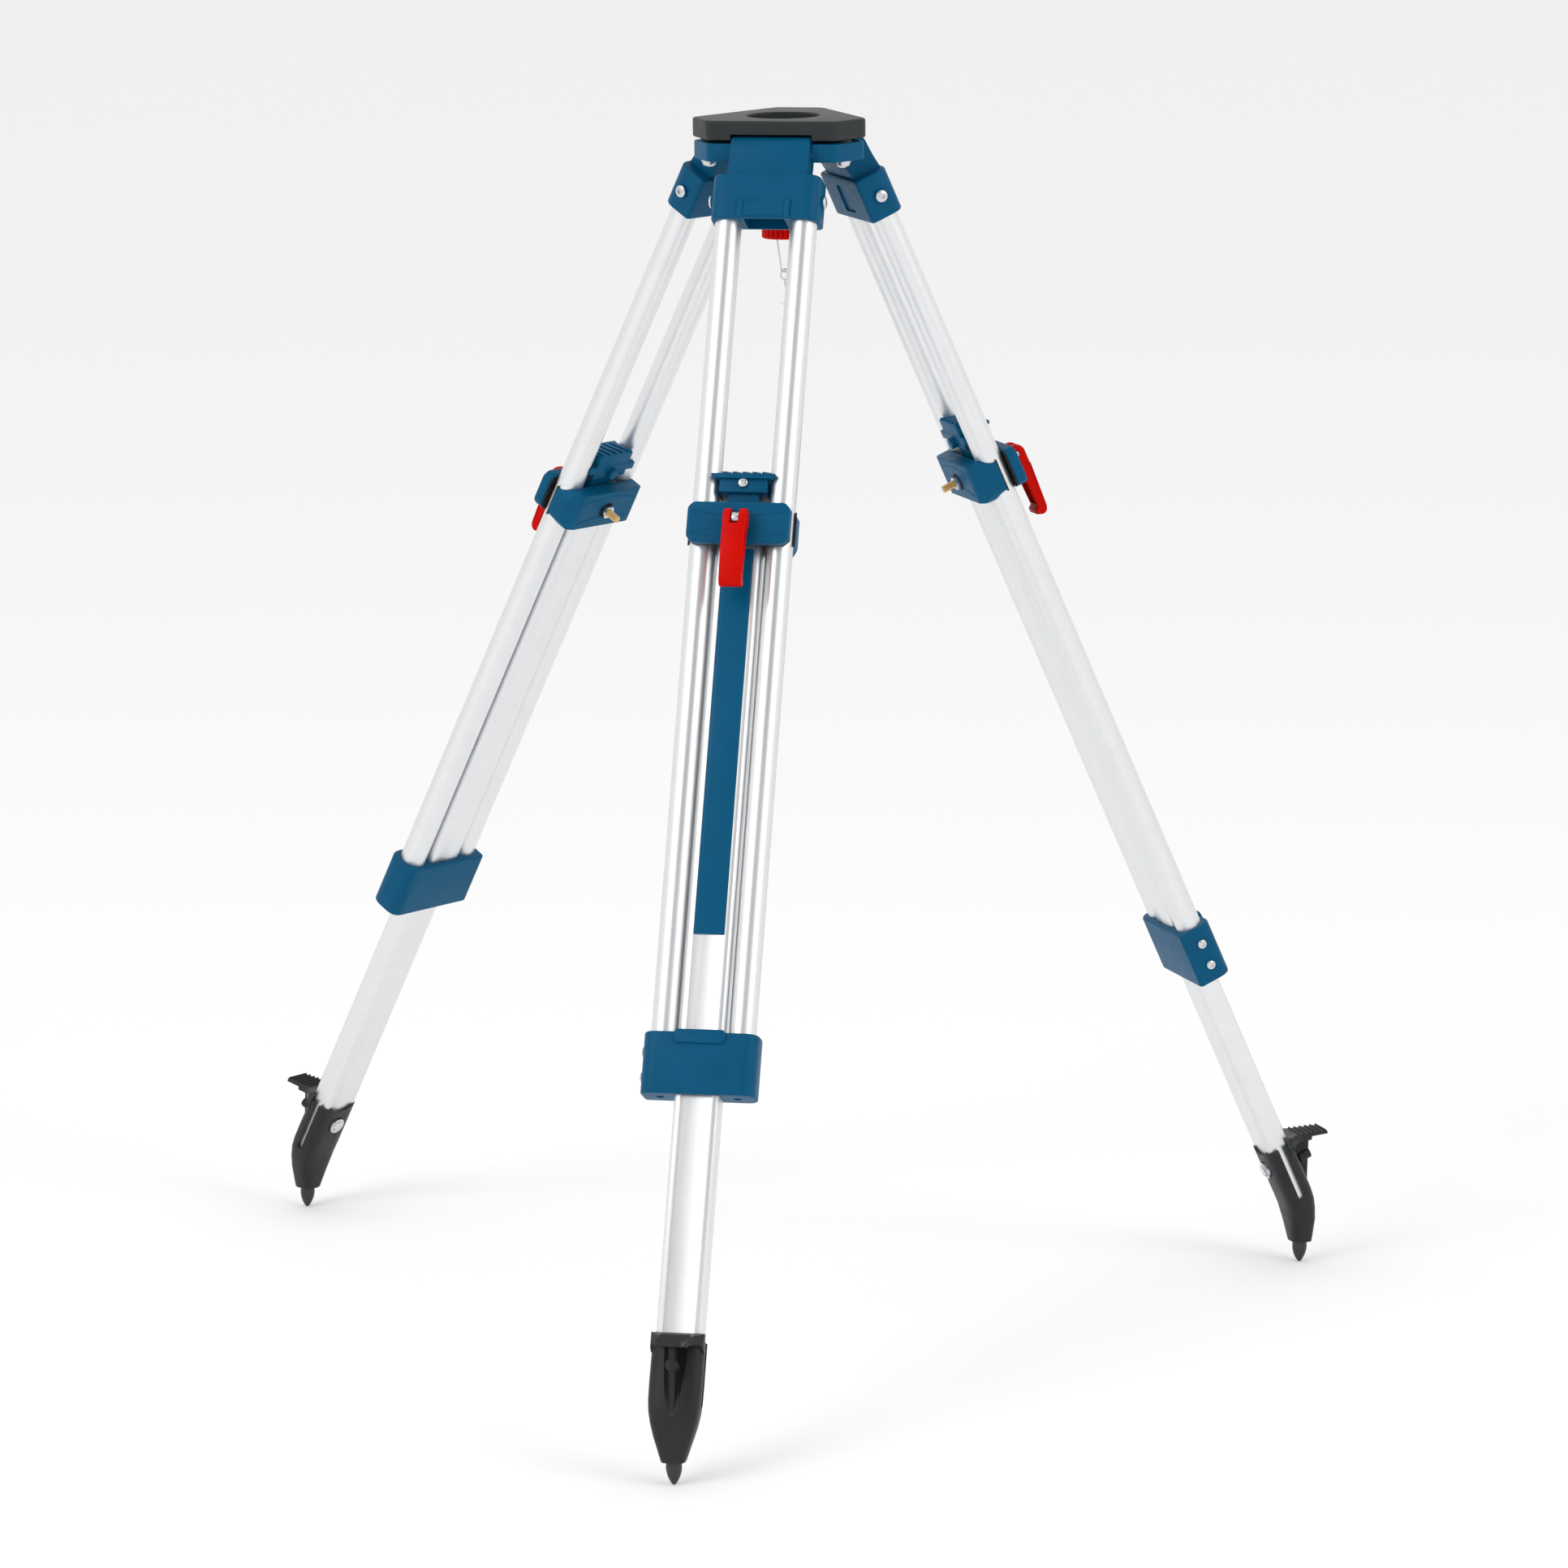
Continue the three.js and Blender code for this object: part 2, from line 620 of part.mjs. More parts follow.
// The heel faces down the canted foot, just above the tip.
const CANT = degToRad(FOOT_CANT);
const HEEL_CENTRE = TIP_INSET - (TIP_LENGTH + GAP) * Math.sin(CANT);
const HEEL_HEIGHT = -FOOT_LENGTH + (TIP_LENGTH + GAP) * Math.cos(CANT);

// The boot's cross-sections, from its rim down to its heel:
// height, half width, half depth, centre, and how much the section slopes up inwards.
const BOOT_SECTIONS = [
  [BOOT_TOP, 25.6, 16, -0.4, 0],
  [BOOT_TOP - 45, 26, 16.2, -1, 0],
  [BOOT_TOP - 64, 25.2, 15.8, -1, 0],
  [BOOT_TOP - 84, 19.5, 14, 4, 0.2],
  [HEEL_HEIGHT, 11.5, 10, HEEL_CENTRE, Math.tan(CANT)],
];

// A round column reshaped through the sections, each a rectangle with soft corners.
function loft(sections, sides, softness) {
  const geometry = new THREE.CylinderGeometry(1, 1, sections.length - 1, sides, sections.length - 1);
  const position = geometry.attributes.position;
  const soften = (value) => Math.sign(value) * Math.abs(value) ** softness;
  for (let index = 0; index < position.count; index += 1) {
    const level = Math.round((sections.length - 1) / 2 - position.getY(index));
    const [height, halfWidth, halfDepth, centre, slope] = sections[level];
    const x = soften(position.getX(index)) * halfWidth;
    const y = -soften(position.getZ(index)) * halfDepth;
    position.setXYZ(index, x, centre + y, height + slope * y);
  }
  return geometry;
}

// A ridged step that narrows outwards, to push the foot into the ground.
function pedal() {
  const topAt = (y) => PEDAL_ROOT + (y + 14) * PEDAL_SLOPE;
  const sideView = outline([
    [-8, PEDAL_ROOT], [-14, PEDAL_ROOT], [-PEDAL_REACH, topAt(-PEDAL_REACH)],
    [-PEDAL_REACH, topAt(-PEDAL_REACH) - 4.5], [-38, BOOT_TOP - 14], [-16, BOOT_TOP - 7],
    [-8, BOOT_TOP - 7],
  ]);
  const ridges = [0, 1, 2, 3, 4].map((index) => {
    const y = -25.8 - 6.8 * index;
    const z = topAt(y);
    return slab(outline([[y - 2, z - 2.5], [y + 2, z - 1.1], [y - 0.3, z + 2]]), [-26, 26]);
  });
  const plan = outline([
    [-25, -8], [-25, -16], [-12.5, -PEDAL_REACH], [12.5, -PEDAL_REACH], [25, -16], [25, -8],
  ]);
  return overlap(
    join(slab(sideView, [-26, 26]), ...ridges),
    prism(plan, [BOOT_TOP - 40, BOOT_TOP + 20]),
  );
}

function boot() {
  const valley = outline([[-10, BOOT_TOP + 9], [10, BOOT_TOP + 9], [0, BOOT_TOP - 74]]);
  const rib = outline([
    [-38, BOOT_TOP - 12], [-33, BOOT_TOP - 20], [-29.5, BOOT_TOP - 30], [-20, BOOT_TOP - 50],
    [-15, BOOT_TOP - 64], [-14, BOOT_TOP - 64], [-14, BOOT_TOP - 5],
  ]);
  const shape = join(
    cut(loft(BOOT_SECTIONS, 16, 0.62), panel(valley, [-30, -14.4])),
    pedal(),
    slab(rib, [-2.4, 2.4]),
    rodY(5.8, [-34.5, -20], 0, BOOT_TOP - 24, SMALL),
  );
  const socket = rectangle(
    EXTENSION_HALF_WIDTH + GAP, EXTENSION_HALF_DEPTH + GAP, EXTENSION_CORNER,
  );
  const sideSlot = outline([
    [-3.5, BOOT_TOP - 58, 3], [3.5, BOOT_TOP - 58, 3], [3.5, BOOT_TOP + 9], [-3.5, BOOT_TOP + 9],
  ]);
  return cut(
    shape,
    prism(socket, [BOOT_TOP - 62 - GAP, BOOT_TOP + 60]),
    slab(sideSlot, [-40, 40]),
    rodY(3.8, [0, 40], 0, FOOT_SCREW, SMALL),
    rodY(10.2, [14.6, 40], 0, FOOT_SCREW),
    rodY(24, [5, 40], 0, BOOT_TOP + 20),
  );
}

// The steel point, upright when its leg stands: its top stays below the boot's heel.
function footTip() {
  const profile = [
    [0, 0], [1.6, 0.4], [5, 5.6], [TIP_RADIUS - 0.4, 12.6], [TIP_RADIUS, 16.5],
    [TIP_RADIUS - 0.6, TIP_LENGTH], [0, TIP_LENGTH],
  ];
  return lathe(profile, 12)
    .rotateX(CANT)
    .translate(0, TIP_INSET, -FOOT_LENGTH);
}

function footScrew() {
  return join(
    rodY(3.3, [2, 17], 0, FOOT_SCREW, SMALL),
    rodY(9.6, [14.6 + GAP, 18.5], 0, FOOT_SCREW),
    rodY(6.4, [18, 20.4], 0, FOOT_SCREW, 6),
  );
}

function buildSlidingLeg(name, stripLength) {
  return [
    piece(`extension_${name}`, extension(), ALUMINIUM),
    piece(`cap_${name}`, cap(), BLUE),
    piece(`clamp_front_${name}`, clampFront(), BLUE),
    piece(`clamp_back_${name}`, clampBack(), BLUE),
    piece(`clamp_bolt_${name}`, clampBolt(), BRASS),
    piece(`clamp_nut_${name}`, clampNut(), STEEL),
    piece(`lever_${name}`, lever(), RED),
    piece(`lever_pin_${name}`, leverPin(), STEEL),
    piece(`strip_${name}`, strip(stripLength), BLUE),
    piece(`boot_${name}`, boot(), BLACK),
    piece(`foot_tip_${name}`, footTip(), BLACK),
    piece(`foot_screw_${name}`, footScrew(), STEEL),
  ];
}

// ---- assembly --------------------------------------------------------------------------

// How far down its leg the clamp sits, for the foot's point to meet the floor.
function clampDrop(splay) {
  const reach = HEAD_HEIGHT - HINGE_DROP - (TIP_INSET - LEG_OFFSET) * Math.sin(splay);
  return reach / Math.cos(splay) - FOOT_LENGTH;
}

function buildLeg({ name, azimuth, splay, stripLength }) {
  const angle = degToRad(splay);
  const sliding = new THREE.Group();
  sliding.position.z = -clampDrop(angle);
  sliding.add(...buildSlidingLeg(name, stripLength));

  const limb = new THREE.Group();
  limb.position.y = -LEG_OFFSET;
  limb.add(...buildUpperLeg(name), sliding);

  const swinging = new THREE.Group();
  swinging.rotation.x = -angle;
  swinging.add(limb);

  const mounted = new THREE.Group();
  mounted.position.set(0, -HINGE_RADIUS, -HINGE_DROP);
  const pin = rodX(PIN_RADIUS, [-55, 55], 0, 0, SMALL);
  mounted.add(piece(`hinge_pin_${name}`, pin, STEEL), swinging);

  const leg = new THREE.Group();
  leg.rotation.z = degToRad(azimuth + 90);
  leg.add(mounted);
  return leg;
}

const tripod = new THREE.Group();
tripod.add(buildHead(), ...LEGS.map(buildLeg));

// The origin is the middle of the footprint, on the floor.
tripod.updateMatrixWorld(true);
const bounds = new THREE.Box3().setFromObject(tripod, true);
const middle = bounds.getCenter(new THREE.Vector3());
tripod.position.set(-middle.x, -middle.y, -bounds.min.z);
tripod.updateMatrixWorld(true);

export default tripod;
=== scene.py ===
"""A surveyor's tripod: a flat head on three telescopic legs, in a plain white studio."""
import json
import math

import bmesh
import bpy
from mathutils import Matrix, Vector


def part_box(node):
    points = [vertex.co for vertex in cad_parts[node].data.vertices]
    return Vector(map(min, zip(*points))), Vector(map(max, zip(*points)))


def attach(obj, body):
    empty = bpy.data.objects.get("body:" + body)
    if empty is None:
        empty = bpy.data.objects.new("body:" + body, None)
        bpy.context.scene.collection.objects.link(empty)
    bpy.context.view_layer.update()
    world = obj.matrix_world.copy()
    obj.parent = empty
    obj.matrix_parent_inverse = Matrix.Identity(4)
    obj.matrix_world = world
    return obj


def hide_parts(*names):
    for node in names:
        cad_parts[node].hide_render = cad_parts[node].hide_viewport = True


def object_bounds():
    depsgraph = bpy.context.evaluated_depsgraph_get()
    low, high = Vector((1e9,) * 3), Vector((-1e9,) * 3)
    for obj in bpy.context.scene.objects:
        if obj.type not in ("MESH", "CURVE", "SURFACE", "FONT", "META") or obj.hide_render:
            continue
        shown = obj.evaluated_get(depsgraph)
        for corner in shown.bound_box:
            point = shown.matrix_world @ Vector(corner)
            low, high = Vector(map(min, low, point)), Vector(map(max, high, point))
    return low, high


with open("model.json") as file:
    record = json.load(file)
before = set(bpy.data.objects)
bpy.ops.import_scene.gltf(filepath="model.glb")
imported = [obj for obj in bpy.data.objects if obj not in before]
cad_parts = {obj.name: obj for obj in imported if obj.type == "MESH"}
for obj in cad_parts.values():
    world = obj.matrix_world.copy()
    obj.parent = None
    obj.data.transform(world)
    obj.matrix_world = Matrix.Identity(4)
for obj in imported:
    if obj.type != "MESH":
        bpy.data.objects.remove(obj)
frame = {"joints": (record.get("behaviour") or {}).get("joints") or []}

cad_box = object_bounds()

# Sizes are in millimetres until place() turns a finished mesh into metres. A leg's own axes are
# x across the leg, y inwards under the head and z up the leg.
MM = 0.001
LEGS = ("front", "left", "right")
SIDES = 56  # sides of a round piece
GAP = 0.3  # clearance between pieces that touch
LYING = Matrix.Rotation(-math.pi / 2, 4, "X")  # lays along y what was made standing up z

# Head heights count from the top of the head plate.
PLATE_SIDE = 64  # head axis to a side that faces a leg
PLATE_CORNER = 86  # head axis to a cut corner
PLATE_THICKNESS = 19
PLATE_BORE = 35.5
BASE_TOP = -22
BASE_BOTTOM = -40
BASE_SIDE = 61.4
BASE_CORNER = 85
BASE_BORE = 36
HINGE_RADIUS = 55.2
HINGE_DROP = 33.6
PIN_RADIUS = 4
NECK_HALF = 38.8
NECK_FRONT = 18.5
NECK_BACK = 11.5
LEG_OFFSET = 6
ARM_TOP = -40.6
ARM_BOTTOM = -44.6
ARM_PIVOT = 66
SCREW_RADIUS = 7.9
SCREW_TOP = -12
KNOB_TOP = -84
KNOB_BOTTOM = -119
KNOB_RADIUS = 22
WIRE = 0.9  # radius of the bail's and the hook's wire

# Upper leg heights count from the leg's hinge.
TUBE_RADIUS = 13
TUBE_BORE = 11.8
TUBE_OFFSET = 36.75
TUBE_TOP = -40
TUBE_BOTTOM = -914
BRACKET_TOP = -27
BRACKET_BOTTOM = -72
COLLAR_TOP = -871
COLLAR_BOTTOM = -930
COLLAR_MIDDLE = (COLLAR_TOP + COLLAR_BOTTOM) / 2
COLLAR_SCREWS = (COLLAR_MIDDLE - 12, COLLAR_MIDDLE + 12)

# Sliding leg heights count from the middle of the clamp.
EXTENSION_X = 21.75
EXTENSION_Y = 12.5
EXTENSION_TOP = 14
EXTENSION_WALL = 1.8
CHANNEL_HALF = 14.9
CHANNEL_DEPTH = 1.1
CLAMP_X = 49.5
CLAMP_Z = 20
CLAMP_FACE = -26
CLAMP_BACK = 27
WRAP_X = 52  # half the width of the rear clamp
WRAP_Z = 22  # half its height
GASKET = 1.4
BOLT_RADIUS = 3.9
BOLT_END = 45
LEVER_PIVOT = -36
LEVER_HALF = 11.4
KNUCKLE = 9.7
BOOT_TOP = -781
SOCKET_BOTTOM = BOOT_TOP - 62  # where the extension ends in the boot
FOOT_LENGTH = 909
TIP_RADIUS = 7.6
TIP_LENGTH = 22
TIP_INSET = 22.2
FOOT_CANT = math.radians(25)
PEDAL_REACH = 57
PEDAL_ROOT = BOOT_TOP + 5.5
PEDAL_SLOPE = 0.38
FOOT_SCREW = BOOT_TOP - 22

OWN_AXES = "own_axes"  # the attribute that keeps a piece's own coordinates for its grain
WORLD_WHITE = 0.96
WORLD_CARD = 0.30
CARD_EDGE = math.cos(math.radians(30))
CARD_CORE = math.cos(math.radians(8))
ALONG = (1, 1, 0.04)  # stretches the grain of a drawn or extruded metal along its length


# ---- camera and studio --------------------------------------------------------------------


def make_camera():
    """The photograph's view: a long lens from the front right, looking down a little."""
    data = bpy.data.cameras.new("studio_camera")
    data.lens = 156.3
    data.sensor_width = 36
    data.clip_end = 200
    camera = bpy.data.objects.new("studio_camera", data)
    bpy.context.scene.collection.objects.link(camera)
    camera.location = (1.3014, -6.3559, 1.8091)
    yaw = Matrix.Rotation(0.1908, 4, "Z")
    pitch = Matrix.Rotation(math.pi / 2 - 0.1899, 4, "X")
    roll = Matrix.Rotation(-0.0109, 4, "Z")
    camera.rotation_euler = (yaw @ pitch @ roll).to_euler()
    bpy.context.scene.camera = camera


def make_world():
    """White all round, with a soft dark card high behind the camera for the metal to reflect."""
    world = bpy.data.worlds.new("studio")
    bpy.context.scene.world = world
    world.use_nodes = True
    tree = world.node_tree
    background = tree.nodes["Background"]
    background.inputs["Color"].default_value = (1, 1, 1, 1)
    direction = tree.nodes.new("ShaderNodeTexCoord")
    toward = tree.nodes.new("ShaderNodeVectorMath")
    toward.operation = "DOT_PRODUCT"
    toward.inputs[1].default_value = (0.190, -0.722, 0.665)
    card = ranged(tree, toward.outputs["Value"], WORLD_WHITE, WORLD_CARD, CARD_EDGE, CARD_CORE)
    path = tree.nodes.new("ShaderNodeLightPath")
    seen = tree.nodes.new("ShaderNodeMix")
    seen.data_type = "FLOAT"
    tree.links.new(direction.outputs["Generated"], toward.inputs[0])
    tree.links.new(path.outputs["Is Camera Ray"], seen.inputs["Factor"])
    tree.links.new(card, seen.inputs["A"])
    seen.inputs["B"].default_value = 1.0
    tree.links.new(seen.outputs["Result"], background.inputs["Strength"])


def make_light(name, location, target, size, energy):
    """A large soft light."""
    data = bpy.data.lights.new(name, "AREA")
    data.shape = "DISK"
    data.size = size
    data.energy = energy
    light = bpy.data.objects.new(name, data)
    bpy.context.scene.collection.objects.link(light)
    light.location = location
    light.rotation_euler = (Vector(target) - Vector(location)).to_track_quat("-Z", "Y").to_euler()


def make_floor():
    """A wide pale floor, level with the foot points."""
    half = 30
    mesh = bpy.data.meshes.new("floor")
    corners = [(-half, -half, 0), (half, -half, 0), (half, half, 0), (-half, half, 0)]
    mesh.from_pydata(corners, [], [(0, 1, 2, 3)])
    mesh.materials.append(FLOOR)
    floor = bpy.data.objects.new("floor", mesh)
    bpy.context.scene.collection.objects.link(floor)
    floor.location.z = cad_box[0].z


# ---- materials ----------------------------------------------------------------------------


def noise(tree, scale, detail=3.0, stretch=(1, 1, 1)):
    """Noise over the piece's own axes, which place() keeps in an attribute, in metres."""
    where = tree.nodes.new("ShaderNodeAttribute")
    where.attribute_name = OWN_AXES
    mapping = tree.nodes.new("ShaderNodeMapping")
    mapping.inputs["Scale"].default_value = stretch
    texture = tree.nodes.new("ShaderNodeTexNoise")
    texture.inputs["Scale"].default_value = scale
    texture.inputs["Detail"].default_value = detail
    tree.links.new(where.outputs["Vector"], mapping.inputs["Vector"])
    tree.links.new(mapping.outputs["Vector"], texture.inputs["Vector"])
    return texture.outputs["Fac"]


def ranged(tree, source, low, high, start=0.3, end=0.7):
    """A value that runs smoothly from low to high while the source runs from start to end."""
    node = tree.nodes.new("ShaderNodeMapRange")
    node.interpolation_type = "SMOOTHSTEP"
    node.inputs["From Min"].default_value = start
    node.inputs["From Max"].default_value = end
    node.inputs["To Min"].default_value = low
    node.inputs["To Max"].default_value = high
    tree.links.new(source, node.inputs["Value"])
    return node.outputs["Result"]


def product(tree, first, second):
    """Two values multiplied."""
    node = tree.nodes.new("ShaderNodeMath")
    node.operation = "MULTIPLY"
    tree.links.new(first, node.inputs[0])
    tree.links.new(second, node.inputs[1])
    return node.outputs["Value"]


def mixed(tree, factor, first, second):
    """A colour between two. Each is three numbers or another node's output."""
    node = tree.nodes.new("ShaderNodeMix")
    node.data_type = "RGBA"
    tree.links.new(factor, node.inputs[0])
    for socket, colour in ((node.inputs[6], first), (node.inputs[7], second)):
        if isinstance(colour, (tuple, list)):
            socket.default_value = (*colour, 1)
        else:
            tree.links.new(colour, socket)
    return node.outputs[2]


def finish(name, colour, roughness, metallic=0.0, specular=0.3, grain=1500, relief=0.02,
           mottle=0.10, wear_and_highlight=1.5, stretch=(1, 1, 1)):
    """A material with cloudy colour, uneven gloss, a fine grain and paler convex edges, partly wear
    and partly a painted highlight.
    """
    material = bpy.data.materials.new(name)
    material.use_nodes = True
    tree = material.node_tree
    surface = tree.nodes["Principled BSDF"]
    surface.inputs["Metallic"].default_value = metallic
    surface.inputs["Specular IOR Level"].default_value = specular

    darker = [value * (1 - mottle) for value in colour]
    lighter = [min(value * (1 + mottle), 1) for value in colour]
    # The paler edge colour: partly wear, partly a painted highlight on the bevels.
    worn_and_highlit_colour = [min(value * wear_and_highlight + 0.01 * (wear_and_highlight - 1), 1) for value in colour]
    cloud = mixed(tree, ranged(tree, noise(tree, 38, 5), 0, 1), darker, lighter)
    speckle = mixed(tree, ranged(tree, noise(tree, 900, 2), 0, 0.4, 0.5, 0.75), cloud, darker)
    # Convex edges, found by pointiness, get the paler colour: partly wear, partly a painted
    # highlight.
    geometry = tree.nodes.new("ShaderNodeNewGeometry")
    edge = ranged(tree, geometry.outputs["Pointiness"], 0, 0.8, 0.52, 0.62)
    wear_and_highlight_mask = product(tree, edge, ranged(tree, noise(tree, 210, 4), 0.1, 1, 0.4, 0.65))
    tree.links.new(mixed(tree, wear_and_highlight_mask, speckle, worn_and_highlit_colour), surface.inputs["Base Color"])

    gloss = ranged(tree, noise(tree, 130, 6, stretch), roughness - 0.02, roughness + 0.03)
    tree.links.new(gloss, surface.inputs["Roughness"])

    bump = tree.nodes.new("ShaderNodeBump")
    bump.inputs["Strength"].default_value = 1.0
    bump.inputs["Distance"].default_value = relief * MM
    tree.links.new(noise(tree, grain, 3, stretch), bump.inputs["Height"])
    tree.links.new(bump.outputs["Normal"], surface.inputs["Normal"])
    return material


# The edge factor of each material lightens its convex edges: partly wear, partly a painted highlight.
FLOOR = finish("studio_floor", (0.97, 0.97, 0.97), 0.8, specular=0.05, mottle=0.002, wear_and_highlight=1.0)
PLATE_GREY = finish("plate_grey", (0.021, 0.024, 0.026), 0.46, specular=0.22, grain=2100,
                    relief=0.05, mottle=0.05, wear_and_highlight=1.9)
BLUE = finish("blue_plastic", (0.001, 0.079, 0.170), 0.40, specular=0.09, grain=1700,
              mottle=0.04, wear_and_highlight=1.5)
STRIP_BLUE = finish("blue_strip", (0.001, 0.080, 0.172), 0.34, specular=0.09, grain=2600,
                    relief=0.008, mottle=0.03, wear_and_highlight=1.2)
RED = finish("red_plastic", (0.56, 0.0025, 0.0004), 0.36, specular=0.06, grain=1900, relief=0.015,
             mottle=0.03, wear_and_highlight=1.15)
ALUMINIUM = finish("anodised_aluminium", (0.77, 0.78, 0.79), 0.38, metallic=1, specular=0.5,
                   grain=2400, relief=0.003, mottle=0.012, wear_and_highlight=1.04, stretch=ALONG)
STEEL = finish("zinc_plated_steel", (0.62, 0.63, 0.65), 0.26, metallic=1, specular=0.5,
               grain=2200, relief=0.008, mottle=0.05, wear_and_highlight=1.2)
BRASS = finish("yellow_zinc", (0.58, 0.40, 0.17), 0.30, metallic=1, specular=0.5, grain=2200,
               relief=0.010, mottle=0.08, wear_and_highlight=1.25)
BLACK = finish("black_casting", (0.016, 0.018, 0.019), 0.42, specular=0.24, grain=1300,
               relief=0.07, mottle=0.08, wear_and_highlight=2.0)
DARK_STEEL = finish("dark_steel", (0.045, 0.048, 0.051), 0.36, metallic=0.5, specular=0.4,
                    grain=1500, relief=0.03, mottle=0.08, wear_and_highlight=2.2)
# Black rubber for the spacers and gaskets; the same black also paints shade in the nut's recess and
# beside the carriage head.
RUBBER_AND_SHADE = finish("black_rubber_and_painted_shade", (0.012, 0.013, 0.014), 0.55, specular=0.25, grain=1500,
                relief=0.05, mottle=0.05, wear_and_highlight=1.5)


# ---- outlines and solids ------------------------------------------------------------------


def arc(x, y, radius, start, end, steps=14):
    """Points along part of a circle, from one angle to another in degrees."""
    turns = [math.radians(start + (end - start) * step / steps) for step in range(steps + 1)]
    return [(x + radius * math.cos(turn), y + radius * math.sin(turn)) for turn in turns]


def circle(radius, x=0.0, y=0.0, sides=SIDES):
    """The points of a full circle."""
    return arc(x, y, radius, 0, 360, sides)[:-1]


def bend(start, corner, end, steps=6):
    """Points on a curve that leaves start towards the corner and reaches end from it."""
    points = []
    for step in range(steps + 1):
        share = step / steps
        points.append(start.lerp(corner, share).lerp(corner.lerp(end, share), share))
    return points


def rounded(points, radius=0.0, steps=6):
    """A closed outline with each corner rounded by its own third value, or by radius."""
    outline = []
    for index, (x, y, *own) in enumerate(points):
        size = own[0] if own else radius
        corner = Vector((x, y))
        before = Vector(points[index - 1][:2])
        after = Vector(points[(index + 1) % len(points)][:2])
        if size > 0:
            start = corner + (before - corner).normalized() * size
            end = corner + (after - corner).normalized() * size
            outline += [tuple(point) for point in bend(start, corner, end, steps)]
        else:
            outline.append((x, y))
    return outline


def rectangle(half_x, half_y, radius=0.0, steps=6):
    """A rectangle about the origin with rounded corners."""
    corners = [(-half_x, -half_y), (half_x, -half_y), (half_x, half_y), (-half_x, half_y)]
    return rounded(corners, radius, steps)


def chamfered(half_x, half_z, size, radius=1.5):
    """A rectangle with its corners cut off."""
    x, z = half_x - size, half_z - size
    return rounded([
        (-x, -half_z), (x, -half_z), (half_x, -z), (half_x, z),
        (x, half_z), (-x, half_z), (-half_x, z), (-half_x, -z),
    ], radius, 3)


def anticlockwise(outline):
    """The outline without repeated points, turning anticlockwise."""
    points = []
    for point in outline:
        if not points or math.dist(point, points[-1]) > 0.01:
            points.append(point)
    if math.dist(points[0], points[-1]) <= 0.01:
        points.pop()
    area = sum(a[0] * b[1] - b[0] * a[1] for a, b in zip(points, points[1:] + points[:1]))
    return points if area > 0 else points[::-1]


def inset(outline, distance):
    """The outline moved inwards."""
    moved = []
    for index, point in enumerate(outline):
        at = Vector(point)
        before = (at - Vector(outline[index - 1])).normalized()
        after = (Vector(outline[(index + 1) % len(outline)]) - at).normalized()
        inwards = Vector((-before.y - after.y, before.x + after.x)).normalized()
        lean = max(inwards.dot(Vector((-before.y, before.x))), 0.45)
        moved.append(tuple(at + inwards * distance / lean))
    return moved


def skin(rings, cyclic=False):
    """A closed mesh through rings of points. One point alone is a tip, and open ends are capped."""
    work = bmesh.new()
    loops = [[work.verts.new(point) for point in ring] for ring in rings]
    pairs = list(zip(loops, loops[1:]))
    if cyclic:
        pairs.append((loops[-1], loops[0]))
    else:
        for end in (loops[0], loops[-1]):
            if len(end) > 1:
                work.faces.new(end)
    for lower, upper in pairs:
        count = max(len(lower), len(upper))
        for index in range(count):
            after = (index + 1) % count
            corners = [
                lower[index % len(lower)], lower[after % len(lower)],
                upper[after % len(upper)], upper[index % len(upper)],
            ]
            work.faces.new(list(dict.fromkeys(corners)))
    bmesh.ops.recalc_face_normals(work, faces=work.faces)
    mesh = bpy.data.meshes.new("solid")
    work.to_mesh(mesh)
    work.free()
    return mesh


def rim_levels(low, high, edge, steps):
    """How far a rounded rim shrinks at each height, up from low and on to high."""
    turns = [math.pi / 2 * step / steps for step in range(steps + 1)]
    rim = [(edge * (1 - math.sin(turn)), edge * (1 - math.cos(turn))) for turn in turns]
    levels = [(shrink, low + rise) for shrink, rise in rim]
    return levels + [(shrink, high - rise) for shrink, rise in reversed(rim)]


def prism(outline, low, high, edge=0.0, steps=3):
    """An outline in x and y drawn up z, with both rims rounded over by edge."""
    outline = anticlockwise(outline)
    if edge == 0:
        return skin([[(x, y, z) for x, y in outline] for z in (low, high)])
    return skin([[(x, y, z) for x, y in inset(outline, shrink)]
                 for shrink, z in rim_levels(low, high, edge, steps)])


def moved(mesh, matrix):
    """The same mesh after a transform."""
    mesh.transform(matrix)
    return mesh


def slab(outline, start, end, edge=0.0):
    """An outline in y and z drawn along x."""
    cycle = Matrix(((0, 0, 1, 0), (1, 0, 0, 0), (0, 1, 0, 0), (0, 0, 0, 1)))
    return moved(prism(outline, start, end, edge), cycle)


def panel(outline, start, end, edge=0.0):
    """An outline in x and z drawn along y."""
    return moved(prism(outline, -end, -start, edge), Matrix.Rotation(math.pi / 2, 4, "X"))


DRAW = {"X": slab, "Y": panel, "Z": prism}


def rod(axis, radius, start, end, at=(0, 0), edge=0.0, sides=SIDES):
    """A round bar along an axis, at its other two coordinates."""
    return DRAW[axis](circle(radius, *at, sides), start, end, edge)


def block(x, y, z, edge=0.0):
    """A box between pairs of coordinates."""
    corners = [(x[0], y[0]), (x[1], y[0]), (x[1], y[1]), (x[0], y[1])]
    return prism(rounded(corners, edge, 3), z[0], z[1], edge)


def lathe(profile, sides=SIDES):
    """A profile of (radius, height) turned about z. It ends on the axis or closes on itself."""
    rings = []
    for radius, height in profile:
        if radius == 0:
            rings.append([(0, 0, height)])
        else:
            rings.append([(x, y, height) for x, y in circle(radius, sides=sides)])
    return skin(rings, cyclic=profile[0][0] > 0)


